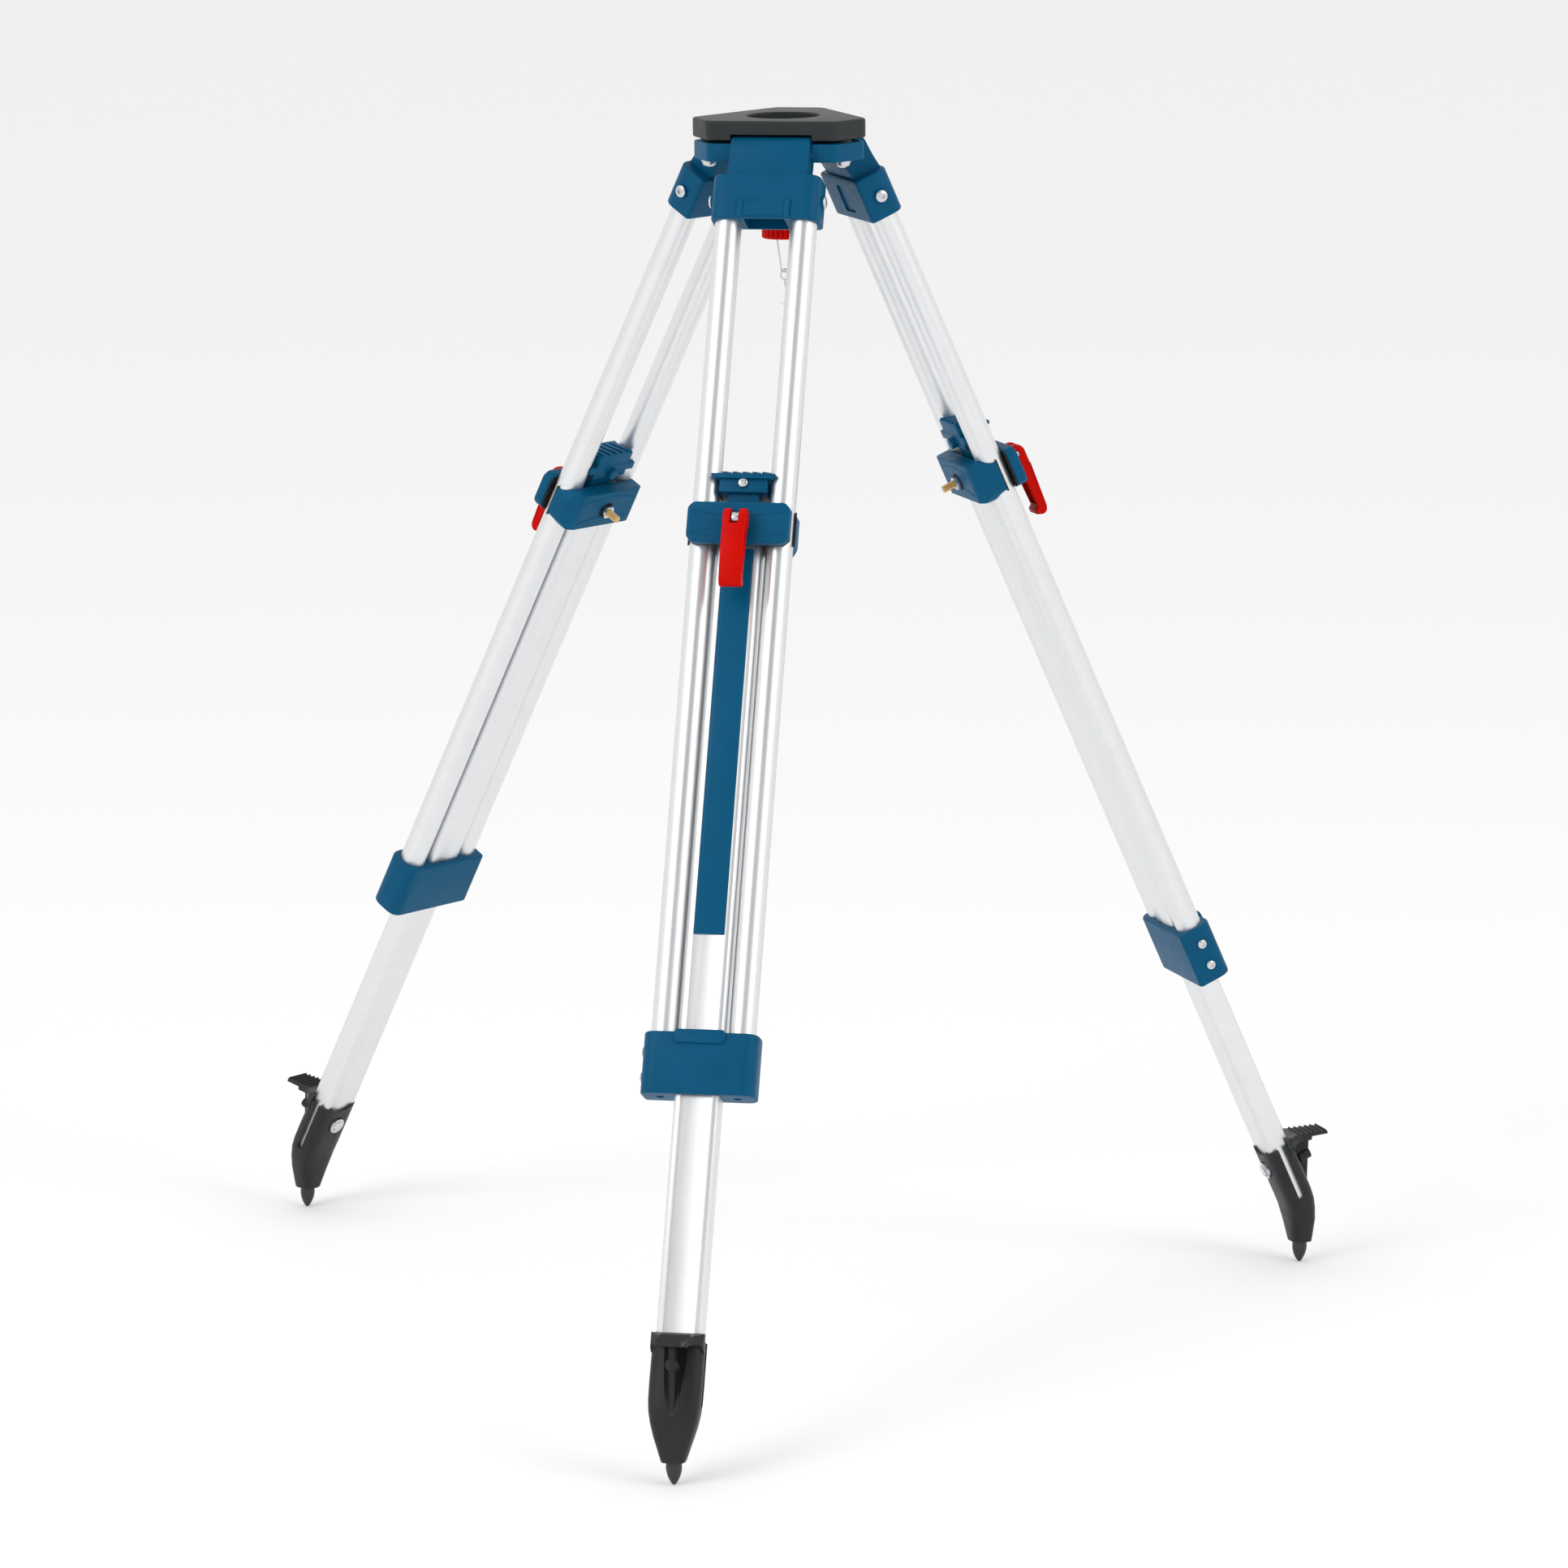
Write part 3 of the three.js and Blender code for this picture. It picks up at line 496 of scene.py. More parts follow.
def sweep(path, radius, sides=14):
    """A round wire along a path in the x and z plane."""
    rings = []
    for index, point in enumerate(path):
        ahead = path[min(index + 1, len(path) - 1)] - path[max(index - 1, 0)]
        across = Vector((ahead.z, 0, -ahead.x)).normalized()
        turns = [2 * math.pi * step / sides for step in range(sides)]
        rings.append([
            tuple(point + radius * (math.cos(t) * across + math.sin(t) * Vector((0, 1, 0))))
            for t in turns
        ])
    return skin(rings)


def wire_path(points, radius):
    """A path in the x and z plane through points, with its corners rounded."""
    corners = [Vector((x, 0, z)) for x, z in points]
    path = [corners[0]]
    for before, corner, after in zip(corners, corners[1:], corners[2:]):
        start = corner + (before - corner).normalized() * radius
        end = corner + (after - corner).normalized() * radius
        path += bend(start, corner, end)
    return path + [corners[-1]]


def thread(radius, depth, pitch, low, high, sides=32, steps=8):
    """A screw thread about z, with both ends tapered."""
    rings = []
    count = round((high - low) / pitch * steps)
    for step in range(count + 1):
        height = low + (high - low) * step / count
        taper = min(height - low, high - height, depth) - depth
        ring = []
        for side in range(sides):
            turn = side / sides
            phase = (height / pitch - turn) % 1
            crest = radius + taper - depth * min(abs(2 * phase - 1) * 1.4, 1)
            angle = 2 * math.pi * turn
            ring.append((crest * math.cos(angle), crest * math.sin(angle), height))
        rings.append(ring)
    return skin(rings)


def hexagon(radius):
    """Six points."""
    return circle(radius, sides=6)


def boolean(operation, base, tools):
    """The base joined to, cut by or kept inside each tool in turn."""
    collection = bpy.context.scene.collection
    target = bpy.data.objects.new("work", base)
    helpers = [target] + [bpy.data.objects.new("tool", tool) for tool in tools]
    for helper in helpers:
        collection.objects.link(helper)
    for helper in helpers[1:]:
        modifier = target.modifiers.new("Boolean", "BOOLEAN")
        modifier.operation = operation
        modifier.solver = "MANIFOLD"
        modifier.object = helper
    result = baked(target)
    for helper in helpers[1:]:
        bpy.data.objects.remove(helper)
    return result


def baked(target):
    """The mesh of a work object with its modifiers applied. The object is removed."""
    graph = bpy.context.evaluated_depsgraph_get()
    graph.update()
    mesh = bpy.data.meshes.new_from_object(target.evaluated_get(graph))
    bpy.data.objects.remove(target)
    return mesh


def cut(base, *tools):
    """The base without its tools."""
    return boolean("DIFFERENCE", base, tools)


def join(base, *others):
    """One solid made of several."""
    return boolean("UNION", base, others)


def overlap(base, *others):
    """What the base shares with every other solid."""
    return boolean("INTERSECT", base, others)


def place(name, mesh, matrix, material, body, slot, *nodes):
    """A finished piece in its frame, riding on its body and standing for its nodes."""
    mesh.transform(Matrix.Scale(MM, 4))
    own = mesh.attributes.new(OWN_AXES, "FLOAT_VECTOR", "POINT")
    for vertex, value in zip(mesh.vertices, own.data):
        value.vector = vertex.co
    mesh.transform(matrix)
    mesh.name = name
    mesh.materials.clear()
    mesh.materials.append(material)
    mesh.shade_smooth()
    mesh.set_sharp_from_angle(angle=math.radians(33))
    piece = bpy.data.objects.new(name, mesh)
    bpy.context.scene.collection.objects.link(piece)
    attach(piece, body)
    if nodes:
        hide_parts(*nodes)
    return piece


# ---- frames -------------------------------------------------------------------------------

JOINTS = {joint["name"]: joint for joint in frame["joints"]}


def head_frame():
    """The middle of the head plate's top."""
    axis = JOINTS["knob_turn"]["pos_m"]
    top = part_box("head_plate")[1].z
    return Matrix.Translation((axis[0], axis[1], top))


def leg_frame(leg, joint, offset):
    """A leg's axes, at offset millimetres inwards of one of its joints."""
    across = -Vector(JOINTS[f"splay_{leg}"]["axis"]).normalized()
    up = -Vector(JOINTS[f"extend_{leg}"]["axis"]).normalized()
    inwards = up.cross(across)
    turn = Matrix((across, inwards, up)).transposed().to_4x4()
    origin = Vector(JOINTS[f"{joint}_{leg}"]["pos_m"]) + inwards * offset * MM
    return Matrix.Translation(origin) @ turn


HEAD = head_frame()
UPPER = {leg: leg_frame(leg, "splay", -LEG_OFFSET) for leg in LEGS}
SLIDING = {leg: leg_frame(leg, "clamp_lever", -LEVER_PIVOT) for leg in LEGS}
TURNS = {leg: Matrix.Rotation(math.radians(turn), 4, "Z") for leg, turn in zip(LEGS, (0, 240, 120))}


def place_upper(kind, mesh, material, slot, node=None):
    """One piece on each leg's upper part."""
    for leg in LEGS:
        nodes = [f"{node}_{leg}"] if node else []
        place(f"{kind}_{leg}", mesh.copy(), UPPER[leg], material, f"leg_{leg}", slot, *nodes)


def place_sliding(kind, mesh, material, slot, node=None, body="extension"):
    """One piece on each leg's sliding part, or on its lever."""
    for leg in LEGS:
        nodes = [f"{node}_{leg}"] if node else []
        place(f"{kind}_{leg}", mesh.copy(), SLIDING[leg], material, f"{body}_{leg}", slot, *nodes)


# ---- head ---------------------------------------------------------------------------------


def head_outline(side, corner, radius):
    """A triangle with cut corners: its sides face the legs and its corners lie between them."""
    points = []
    for index in range(6):
        near, following = (side, corner) if index % 2 == 0 else (corner, side)
        normal = math.radians(60 * index - 90)
        along = (following - near * 0.5) / math.sin(math.pi / 3)
        points.append((
            near * math.cos(normal) - along * math.sin(normal),
            near * math.sin(normal) + along * math.cos(normal),
        ))
    return rounded(points, radius)


def at_each_leg(make_tool):
    """The same tool turned to each leg."""
    return [moved(make_tool(), turn) for turn in TURNS.values()]


def head_plate():
    """The flat top, with a round bore and a recess over each leg's neck."""
    def recess():
        return block((-NECK_HALF - 1, NECK_HALF + 1), (-69, -42), (-30, -PLATE_THICKNESS + 6))

    bore = [(0, -30), (PLATE_BORE, -30), (PLATE_BORE, -1.2), (PLATE_BORE + 1.6, 0.4), (0, 0.4)]
    plate = prism(head_outline(PLATE_SIDE, PLATE_CORNER, 7), -PLATE_THICKNESS, 0, 2.4, 5)
    return cut(plate, lathe(bore, 96), *at_each_leg(recess))


def head_base():
    """The blue ring under the plate, whose lugs hold the hinge pins."""
    def notch():
        return block((-NECK_HALF - 0.6, NECK_HALF + 0.6), (-90, -42.3), (-50, 0))

    def pin_hole():
        return rod("X", PIN_RADIUS + GAP, -56, 56, (-HINGE_RADIUS, -HINGE_DROP), sides=24)

    base = prism(head_outline(BASE_SIDE, BASE_CORNER, 5), BASE_BOTTOM, BASE_TOP, 1.6, 4)
    bore = rod("Z", BASE_BORE, -50, 0, sides=96)
    bolt_hole = rod("Z", PIN_RADIUS + GAP, -50, -25, (0, ARM_PIVOT), sides=24)
    return cut(base, bore, bolt_hole, *at_each_leg(notch), *at_each_leg(pin_hole))


def pan_head(radius, height, socket):
    """A domed screw head that stands up z, with a six-sided socket."""
    dome = [(radius * math.cos(t), height * (0.35 + 0.65 * math.sin(t)))
            for t in (math.pi / 2 * step / 8 for step in range(8))]
    head = lathe([(0, 0), (radius * 0.97, 0)] + dome + [(0, height)], 40)
    return cut(head, prism(hexagon(socket), height * 0.35, height + 1))


def corner_screws():
    """A screw and its spacer at two of the head's corners. The arm's bolt holds the third."""
    place_at = 76
    for name, azimuth in (("left", -150), ("right", -30)):
        turn = math.radians(azimuth)
        corner = Matrix.Translation((place_at * math.cos(turn), place_at * math.sin(turn), 0))
        upside_down = Matrix.Rotation(math.pi, 4, "X")
        at = Matrix.Translation((0, 0, BASE_BOTTOM - 1.6))
        head = moved(moved(pan_head(6.6, 5.2, 3.4), upside_down), at)
        washer = lathe([(0, BASE_BOTTOM - 1.6), (7.6, BASE_BOTTOM - 1.5), (7.8, BASE_BOTTOM - 1.0),
                        (7.8, BASE_BOTTOM), (0, BASE_BOTTOM)], 40)
        place(f"corner_screw_{name}", moved(join(head, washer), corner), HEAD, STEEL, "head",
              "steel")
        spacer = rod("Z", 8.2, BASE_TOP, -PLATE_THICKNESS, edge=0.3)
        place(f"corner_spacer_{name}", moved(spacer, corner), HEAD, RUBBER_AND_SHADE, "head",
              "black_casting")


def hinge_pin():
    """A plain pin with chamfered ends, in a leg's own place in the head."""
    pin = rod("X", PIN_RADIUS, -55, 55, (-HINGE_RADIUS, -HINGE_DROP), 0.7, 32)
    return cut(pin, slab(circle(2, -HINGE_RADIUS, -HINGE_DROP, 6), 51, 60))


def centre_arm():
    """The pressed steel arm that carries the centre screw."""
    shape = rounded([(-17, -34), (17, -34), (17, 40), (9, 76), (-9, 76), (-17, 40)], 6)
    slot = rectangle(11.4, 22, 6)
    hole = rod("Z", PIN_RADIUS + GAP, -60, -30, (0, ARM_PIVOT), sides=24)
    arm = prism(shape, ARM_BOTTOM, ARM_TOP, 0.8)
    return cut(arm, prism(slot, ARM_BOTTOM - 5, ARM_TOP + 5), hole)


def arm_pivot_bolt():
    """The hexagon bolt that the arm turns about."""
    shank = rod("Z", PIN_RADIUS, ARM_BOTTOM - 1, -26, (0, ARM_PIVOT), 0.5, 24)
    head_low = ARM_BOTTOM - 6
    head = moved(prism(hexagon(8), head_low, ARM_BOTTOM - GAP), Matrix.Translation((0, ARM_PIVOT, 0)))
    crown = lathe([(0, head_low), (6.6, head_low), (8.2, head_low + 1), (8.2, -40), (0, -40)], 40)
    return join(shank, overlap(head, moved(crown, Matrix.Translation((0, ARM_PIVOT, 0)))))


def screw_carriage():
    """The flanged bush that slides in the arm's slot."""
    top = ARM_BOTTOM - GAP
    bore = SCREW_RADIUS + GAP
    return lathe([
        (bore, top - 4), (14.9, top - 4), (15.5, top - 3.4), (15.5, top - 0.6), (14.9, top),
        (10.9, top), (10.9, ARM_TOP - 0.5), (10.4, ARM_TOP), (bore, ARM_TOP),
    ])


def centre_screw():
    """The threaded screw with its shoulder."""
    low = ARM_TOP + 1
    shoulder = lathe([(0, low), (9.8, low), (10.4, low + 0.6), (10.4, low + 2.9), (9.8, low + 3.5),
                      (0, low + 3.5)])
    return join(thread(SCREW_RADIUS, 1.1, 2.31, KNOB_BOTTOM + 9, SCREW_TOP), shoulder)


def knob():
    """The red grip, with 28 ribs round it and a smooth boss above."""
    ribs = 28
    outline = []
    for step in range(ribs * 8):
        turn = 2 * math.pi * step / (ribs * 8)
        radius = 1 - 0.068 * (1 - min(abs(math.cos(ribs * turn / 2)) * 1.6, 1))
        outline.append((radius * math.cos(turn), radius * math.sin(turn)))
    waist = KNOB_BOTTOM + 20
    rings = []
    for shrink, z in rim_levels(KNOB_BOTTOM, waist, 1.6, 4):
        radius = KNOB_RADIUS - shrink
        rings.append([(x * radius, y * radius, z) for x, y in outline])
    grip = skin(rings)
    boss = lathe([(0, waist - 2), (18.5, waist - 2), (18.5, waist), (17.4, waist + 1.2),
                  (16.6, KNOB_TOP - 2.5), (15.8, KNOB_TOP - 0.9), (14, KNOB_TOP), (0, KNOB_TOP)])
    body = join(grip, boss)
    return cut(
        body,
        rod("Z", SCREW_RADIUS + GAP, KNOB_BOTTOM + 8.6, 0),
        lathe([(0, KNOB_BOTTOM - 1), (13, KNOB_BOTTOM - 1), (11.6, KNOB_BOTTOM + 0.8),
               (11.6, KNOB_BOTTOM + 7), (0, KNOB_BOTTOM + 7)]),
        rod("X", WIRE + GAP, -16, 16, (0, KNOB_BOTTOM + 4), sides=16),
    )


def plumb_bail():
    """The wire stirrup that swings in the knob."""
    pivot = KNOB_BOTTOM + 4
    bottom = KNOB_BOTTOM - 33.4
    points = [(-15, pivot), (-8, pivot), (-3, bottom), (3, bottom), (8, pivot), (15, pivot)]
    return sweep(wire_path(points, 2.6), WIRE)


def plumb_hook():
    """The ring and hook for a plumb line."""
    top = KNOB_BOTTOM - 31
    radius = 5
    section = [(radius + WIRE * math.cos(t), WIRE * math.sin(t))
               for t in (2 * math.pi * step / 12 for step in range(12))]
    ring = moved(lathe(section, 40), Matrix.Rotation(math.pi / 2, 4, "X"))
    ring = moved(ring, Matrix.Rotation(math.radians(50), 4, "Z"))
    ring = moved(ring, Matrix.Translation((0, 0, top - radius)))
    drops = [(0, 2 * radius - 0.5), (0, 16), (5, 23), (5, 33), (0, 36), (-3.5, 31)]
    return join(ring, sweep(wire_path([(x, top - drop) for x, drop in drops], 2.4), WIRE))


def build_head():
    """Every piece of the head."""
    place("plate", head_plate(), HEAD, PLATE_GREY, "head", "head_plate_grey", "head_plate")
    place("base", head_base(), HEAD, BLUE, "head", "blue_casting", "head_base")
    place("arm", centre_arm(), HEAD, STEEL, "arm", "steel", "centre_arm")
    place("arm_bolt", arm_pivot_bolt(), HEAD, STEEL, "head", "steel", "arm_pivot_bolt")
    place("carriage_bush", screw_carriage(), HEAD, STEEL, "carriage", "steel", "screw_carriage")
    place("threaded_screw", centre_screw(), HEAD, STEEL, "screw", "steel", "centre_screw")
    place("grip_knob", knob(), HEAD, RED, "knob", "red_plastic", "knob")
    place("wire_bail", plumb_bail(), HEAD, STEEL, "plumb_bail", "steel", "plumb_bail")
    place("wire_hook", plumb_hook(), HEAD, STEEL, "plumb_hook", "steel", "plumb_hook")
    for leg in LEGS:
        place(f"pin_{leg}", hinge_pin(), HEAD @ TURNS[leg], STEEL, "head", "steel",
              f"hinge_pin_{leg}")
    corner_screws()


# ---- upper leg ----------------------------------------------------------------------------


def housing(half_width, half_depth, far_corner=5):
    """A housing round the two tubes: round outside, with a flat inner face."""
    return rounded([
        (-half_width, -half_depth, 15), (half_width, -half_depth, 15),
        (half_width, half_depth, far_corner), (-half_width, half_depth, 5),
    ], steps=10)


def tube_holes(radius, low, high):
    """A bar in the place of each of the two tubes."""
    return [rod("Z", radius, low, high, (side * TUBE_OFFSET, 0)) for side in (-1, 1)]


def bracket():
    """The hinge bracket at the top of a leg: a neck above a housing for the tubes."""
    shoulder = bend(Vector((LEG_OFFSET - NECK_FRONT, 0)),
                    Vector((LEG_OFFSET - NECK_FRONT - 0.5, -14)), Vector((-16.5, -30)), 8)
    neck = [(LEG_OFFSET + NECK_BACK, 3), (LEG_OFFSET + 6, 10), (LEG_OFFSET, NECK_FRONT)]
    neck += arc(LEG_OFFSET, 0, NECK_FRONT, 90, 180, 20)
    neck += [tuple(point) for point in shoulder]
    neck += [(14, BRACKET_TOP - 3), (LEG_OFFSET + NECK_BACK, -10)]
    fin = [(-20.4, -54), (-16, -52), (-16, BRACKET_BOTTOM + 1), (-20.4, BRACKET_BOTTOM + 1)]
    body = join(
        prism(housing(53, 18.2), BRACKET_BOTTOM, BRACKET_TOP, 2.2, 4),
        slab(neck, -NECK_HALF, NECK_HALF, 1.4),
        block((-24, 24), (-19.2, -15), (BRACKET_BOTTOM + 2, -55), 0.6),
        *[slab(rounded(fin, 0.5, 2), x, x + 5, 0.5) for x in (-25.5, 20.5)],
        *[rod("X", 6.4, side * 53 - 2.2, side * 53 + 2.2, (0, -50), 0.5) for side in (-1, 1)],
    )
    return cut(
        body,
        rod("X", PIN_RADIUS + GAP, -60, 60, (LEG_OFFSET, 0), sides=32),
        *tube_holes(TUBE_RADIUS + GAP, BRACKET_BOTTOM - 5, TUBE_TOP + GAP),
        block((-20, 20), (-14.5, 14.5), (BRACKET_BOTTOM - 5, -44), 2),
        panel(rounded([(-14, -64), (14, -64), (14, -36), (-14, -36)], 3), 16.4, 30),
    )


def tube():
    """One of the two outer tubes."""
    return lathe([
        (TUBE_BORE + 0.3, TUBE_BOTTOM), (TUBE_RADIUS - 0.3, TUBE_BOTTOM),
        (TUBE_RADIUS, TUBE_BOTTOM + 0.3), (TUBE_RADIUS, TUBE_TOP - 0.3),
        (TUBE_RADIUS - 0.3, TUBE_TOP), (TUBE_BORE + 0.3, TUBE_TOP),
        (TUBE_BORE, TUBE_TOP - 0.3), (TUBE_BORE, TUBE_BOTTOM + 0.3),
    ], 72)


def collar():
    """The lower housing, which guides the extension and stops it."""
    slot = rectangle(EXTENSION_X + 0.5, EXTENSION_Y + 0.5, 6)
    tab = rounded([(-22, COLLAR_TOP - 11), (22, COLLAR_TOP - 11), (25, COLLAR_TOP - 6),
                   (25, COLLAR_TOP - 2), (22, COLLAR_TOP + 2), (-22, COLLAR_TOP + 2),
                   (-25, COLLAR_TOP - 2), (-25, COLLAR_TOP - 6)], 1.2, 3)
    body = join(
        prism(housing(54.6, 18.4, 13), COLLAR_BOTTOM, COLLAR_TOP, 2.0, 4),
        panel(tab, -20.6, -16, 0.9),
        *[rod("X", 5.5, -55.4, -48.6, (0, z), 0.5) for z in COLLAR_SCREWS],
    )
    return cut(
        body,
        prism(slot, COLLAR_BOTTOM - 5, COLLAR_TOP + 12),
        block((-CHANNEL_HALF - 0.5, CHANNEL_HALF + 0.5), (-EXTENSION_Y - 2, 0),
              (COLLAR_BOTTOM - 5, COLLAR_TOP + 12)),
        *tube_holes(TUBE_RADIUS + GAP, TUBE_BOTTOM - GAP, COLLAR_TOP + 12),
        *tube_holes(4, COLLAR_BOTTOM - 5, TUBE_BOTTOM),
    )


def side_screws():
    """The pan-head screws on both sides of the bracket and on one side of the collar."""
    for side, name in ((-1, "a"), (1, "b")):
        facing = Matrix.Rotation(side * math.pi / 2, 4, "Y")
        head = moved(pan_head(6.0, 2.6, 2.9), Matrix.Translation((side * 55.1, 0, -50)) @ facing)
        place_upper(f"bracket_screw_{name}", head, STEEL, "steel")
    facing = Matrix.Rotation(-math.pi / 2, 4, "Y")
    for number, height in enumerate(COLLAR_SCREWS):
        head = moved(pan_head(4.6, 2.2, 2.3), Matrix.Translation((-55.3, 0, height)) @ facing)
        place_upper(f"collar_screw_{number}", head, STEEL, "steel")


def build_upper_legs():
    """Every piece that swings with a leg but doesn't slide."""
    place_upper("hinge_bracket", bracket(), BLUE, "blue_casting", "bracket")
    place_upper("lower_collar", collar(), BLUE, "blue_casting", "collar")
    for side, name in ((-1, "a"), (1, "b")):
        shifted = moved(tube(), Matrix.Translation((side * TUBE_OFFSET, 0, 0)))
        place_upper(f"outer_tube_{name}", shifted, ALUMINIUM, "anodised_aluminium", f"tube_{name}")
    side_screws()


# ---- sliding leg --------------------------------------------------------------------------


def extension():
    """The sliding tube: flat oblong, with a shallow channel in its outer face."""
    depth = EXTENSION_Y - EXTENSION_WALL - CHANNEL_DEPTH
    outer = prism(rectangle(EXTENSION_X, EXTENSION_Y, 6, 8), SOCKET_BOTTOM, EXTENSION_TOP, 0.25, 2)
    channel = rounded([(-CHANNEL_HALF, -20), (CHANNEL_HALF, -20),
                       (CHANNEL_HALF, -EXTENSION_Y + CHANNEL_DEPTH, 0.4),
                       (-CHANNEL_HALF, -EXTENSION_Y + CHANNEL_DEPTH, 0.4)], 0, 3)
    return cut(
        outer,
        prism(rectangle(EXTENSION_X - EXTENSION_WALL, depth, 4), SOCKET_BOTTOM - 5,
              EXTENSION_TOP + 5),
        prism(channel, SOCKET_BOTTOM - 5, EXTENSION_TOP + 5),
        rod("Y", BOLT_RADIUS + GAP, -20, 20, sides=32),
        rod("Y", 3.8, 0, 20, (0, FOOT_SCREW), sides=32),
    )


def cap():
    """The carriage head: a block between the tubes, with horns that guide it on both."""
    block_side = [(-14, 33), (14, 31), (14, 59.5), (-14, 51.5)]
    ridge = [(-13, 51), (13, 58.4), (13, 61), (-13, 53.6)]
    guides = cut(
        join(
            slab(rounded(block_side, 1.5, 3), -23.2, 23.2, 1.0),
            panel(rounded([(-31.5, 49.6), (-27.5, 45.8), (27.5, 45.8), (31.5, 49.6),
                           (30.5, 50.5), (-30.5, 50.5)], 0.5, 3), -18, -8, 0.6),
            block((-32, 32), (8, 14.6), (38, 46), 0.8),
            *[slab(rounded(ridge, 0.6, 2), x - 2, x + 2, 0.6) for x in (-19, -9.5, 0, 9.5, 19)],
        ),
        *tube_holes(TUBE_RADIUS + 0.6, 0, 80),
    )
    return join(
        guides,
        prism(rectangle(15.5, 8.6, 3), 6, 34),
        rod("Y", 5, -15.4, -10, (0, 42), 0.5),
        rod("Y", 5.8, 10, 20, (0, 38), 0.7),
    )


def lens(half_width, half_height, height):
    """A long outline with pointed ends, in x and z."""
    radius = (half_width ** 2 + half_height ** 2) / (2 * half_height)
    half_angle = math.degrees(math.asin(half_width / radius))
    upper = arc(0, height + half_height - radius, radius, 90 - half_angle, 90 + half_angle)
    lower = arc(0, height - half_height + radius, radius, 270 - half_angle, 270 + half_angle)
    return upper + lower[1:-1]


def clamp_front():
    """The plate that the lever pulls against the tubes, with two raised lens shapes."""
    body = join(
        panel(chamfered(CLAMP_X, CLAMP_Z, 5.5, 2.8), CLAMP_FACE, -13.4 - GASKET, 2.0),
        *[panel(lens(46, 5, height), CLAMP_FACE - 0.5, -20, 0.48) for height in (-11, 11)],
    )
    return cut(
        body,
        rod("Y", BOLT_RADIUS + GAP, -40, 0, sides=32),
        *tube_holes(TUBE_RADIUS + GAP, -40, 40),
        block((-CHANNEL_HALF - 1, CHANNEL_HALF + 1), (-15.4, -5), (-40, 40)),
        panel(rectangle(12.2, 11, 1), CLAMP_FACE - 5, CLAMP_FACE),
    )


def front_gasket():
    """The black pad behind the front clamp plate."""
    return cut(
        panel(chamfered(CLAMP_X - 0.3, CLAMP_Z - 0.3, 5), -13.4 - GASKET, -13.4, 0.3),
        rod("Y", BOLT_RADIUS + GAP, -40, 0, sides=32),
        *tube_holes(TUBE_RADIUS + GAP, -40, 40),
        block((-CHANNEL_HALF - 1, CHANNEL_HALF + 1), (-15.4, -5), (-40, 40)),
    )


def wrap_outline(half_x, edge, depth):
    """The rear clamp's section in x and y."""
    return rounded([
        (-half_x, edge, 0.5), (half_x, edge, 0.5), (half_x, 16, 5), (half_x - 10.5, depth, 5),
        (-half_x + 10.5, depth, 5), (-half_x, 16, 5),
    ], steps=6)


def between_clamp_walls(low):
    """What is cut out of the rear clamp for the tubes and the extension."""
    return [
        *tube_holes(TUBE_RADIUS + GAP, -40, 40),
        block((-TUBE_OFFSET, TUBE_OFFSET), (-10, EXTENSION_Y + GAP), (-40, 40)),
        *[block((side * TUBE_OFFSET - TUBE_RADIUS - GAP, side * TUBE_OFFSET + TUBE_RADIUS + GAP),
                (-10, low), (-40, 40)) for side in (-1, 1)],
    ]


def clamp_back():
    """The rear clamp, which wraps the tubes, with two raised lens shapes and a nut recess."""
    side_view = [(-4, -13), (5, -20), (12, -22), (40, -15.5), (40, 21), (12, 22), (5, 20),
                 (-4, 13)]
    body = overlap(
        prism(wrap_outline(WRAP_X, -3 + GASKET, CLAMP_BACK), -WRAP_Z, WRAP_Z, 1.6),
        slab(rounded(side_view, 2.5, 4), -80, 80),
        panel(chamfered(WRAP_X, WRAP_Z, 8, 4), -10, 40),
    )
    ridges = [panel(lens(38, 5, height), 20, CLAMP_BACK + 0.45, 0.42) for height in (-11.5, 11.5)]
    return cut(
        join(body, *ridges),
        rod("Y", BOLT_RADIUS + GAP, 0, 40, sides=32),
        rod("Y", 9, CLAMP_BACK - 3, 40),
        *between_clamp_walls(0),
    )


def back_gasket():
    """The black edge of the rear clamp, against the sides of the tubes."""
    body = overlap(
        prism(wrap_outline(WRAP_X - GAP, -3, CLAMP_BACK), -21.5, 21.5),
        block((-80, 80), (-3, -3 + GASKET), (-17, 17), 0.3),
    )
    return cut(body, *between_clamp_walls(0))


def clamp_bolt():
    """The bolt through the clamp: plain shank, threaded end."""
    shank_end = 30
    shank = rod("Y", BOLT_RADIUS, -29.3, shank_end, edge=0.3, sides=40)
    upright = thread(BOLT_RADIUS, 0.6, 1.25, shank_end - 2, BOLT_END, 28)
    return join(shank, moved(upright, LYING))


def bolt_eye():
    """The bolt's bright eye, which the lever's pin goes through."""
    eye = join(
        rod("X", 6.4, -3.8, 3.8, (LEVER_PIVOT, 0), 0.7),
        rod("Y", 3.9, LEVER_PIVOT, -29.5, sides=40),
    )
    return cut(eye, rod("X", 3.3, -10, 10, (LEVER_PIVOT, 0), sides=32))


def clamp_nut():
    """A chamfered hexagon nut."""
    low, high = 24 + GAP, 32
    blank = panel(hexagon(7.4), low, high)
    crown = moved(lathe([(0, low), (6.3, low), (7.5, low + 0.9), (7.5, high - 0.9), (6.3, high),
                         (0, high)]), LYING)
    return cut(overlap(blank, crown), rod("Y", BOLT_RADIUS + GAP, 0, 50, sides=40))


def nut_recess_shade_ring():
    """A black ring in the nut's recess: painted shade, darker than the recess's own shadow."""
    ring = lathe([(8.0, CLAMP_BACK - 2.9), (8.9, CLAMP_BACK - 2.9), (8.9, CLAMP_BACK + 1.0),
                  (8.0, CLAMP_BACK + 1.0)])
    return moved(ring, LYING)


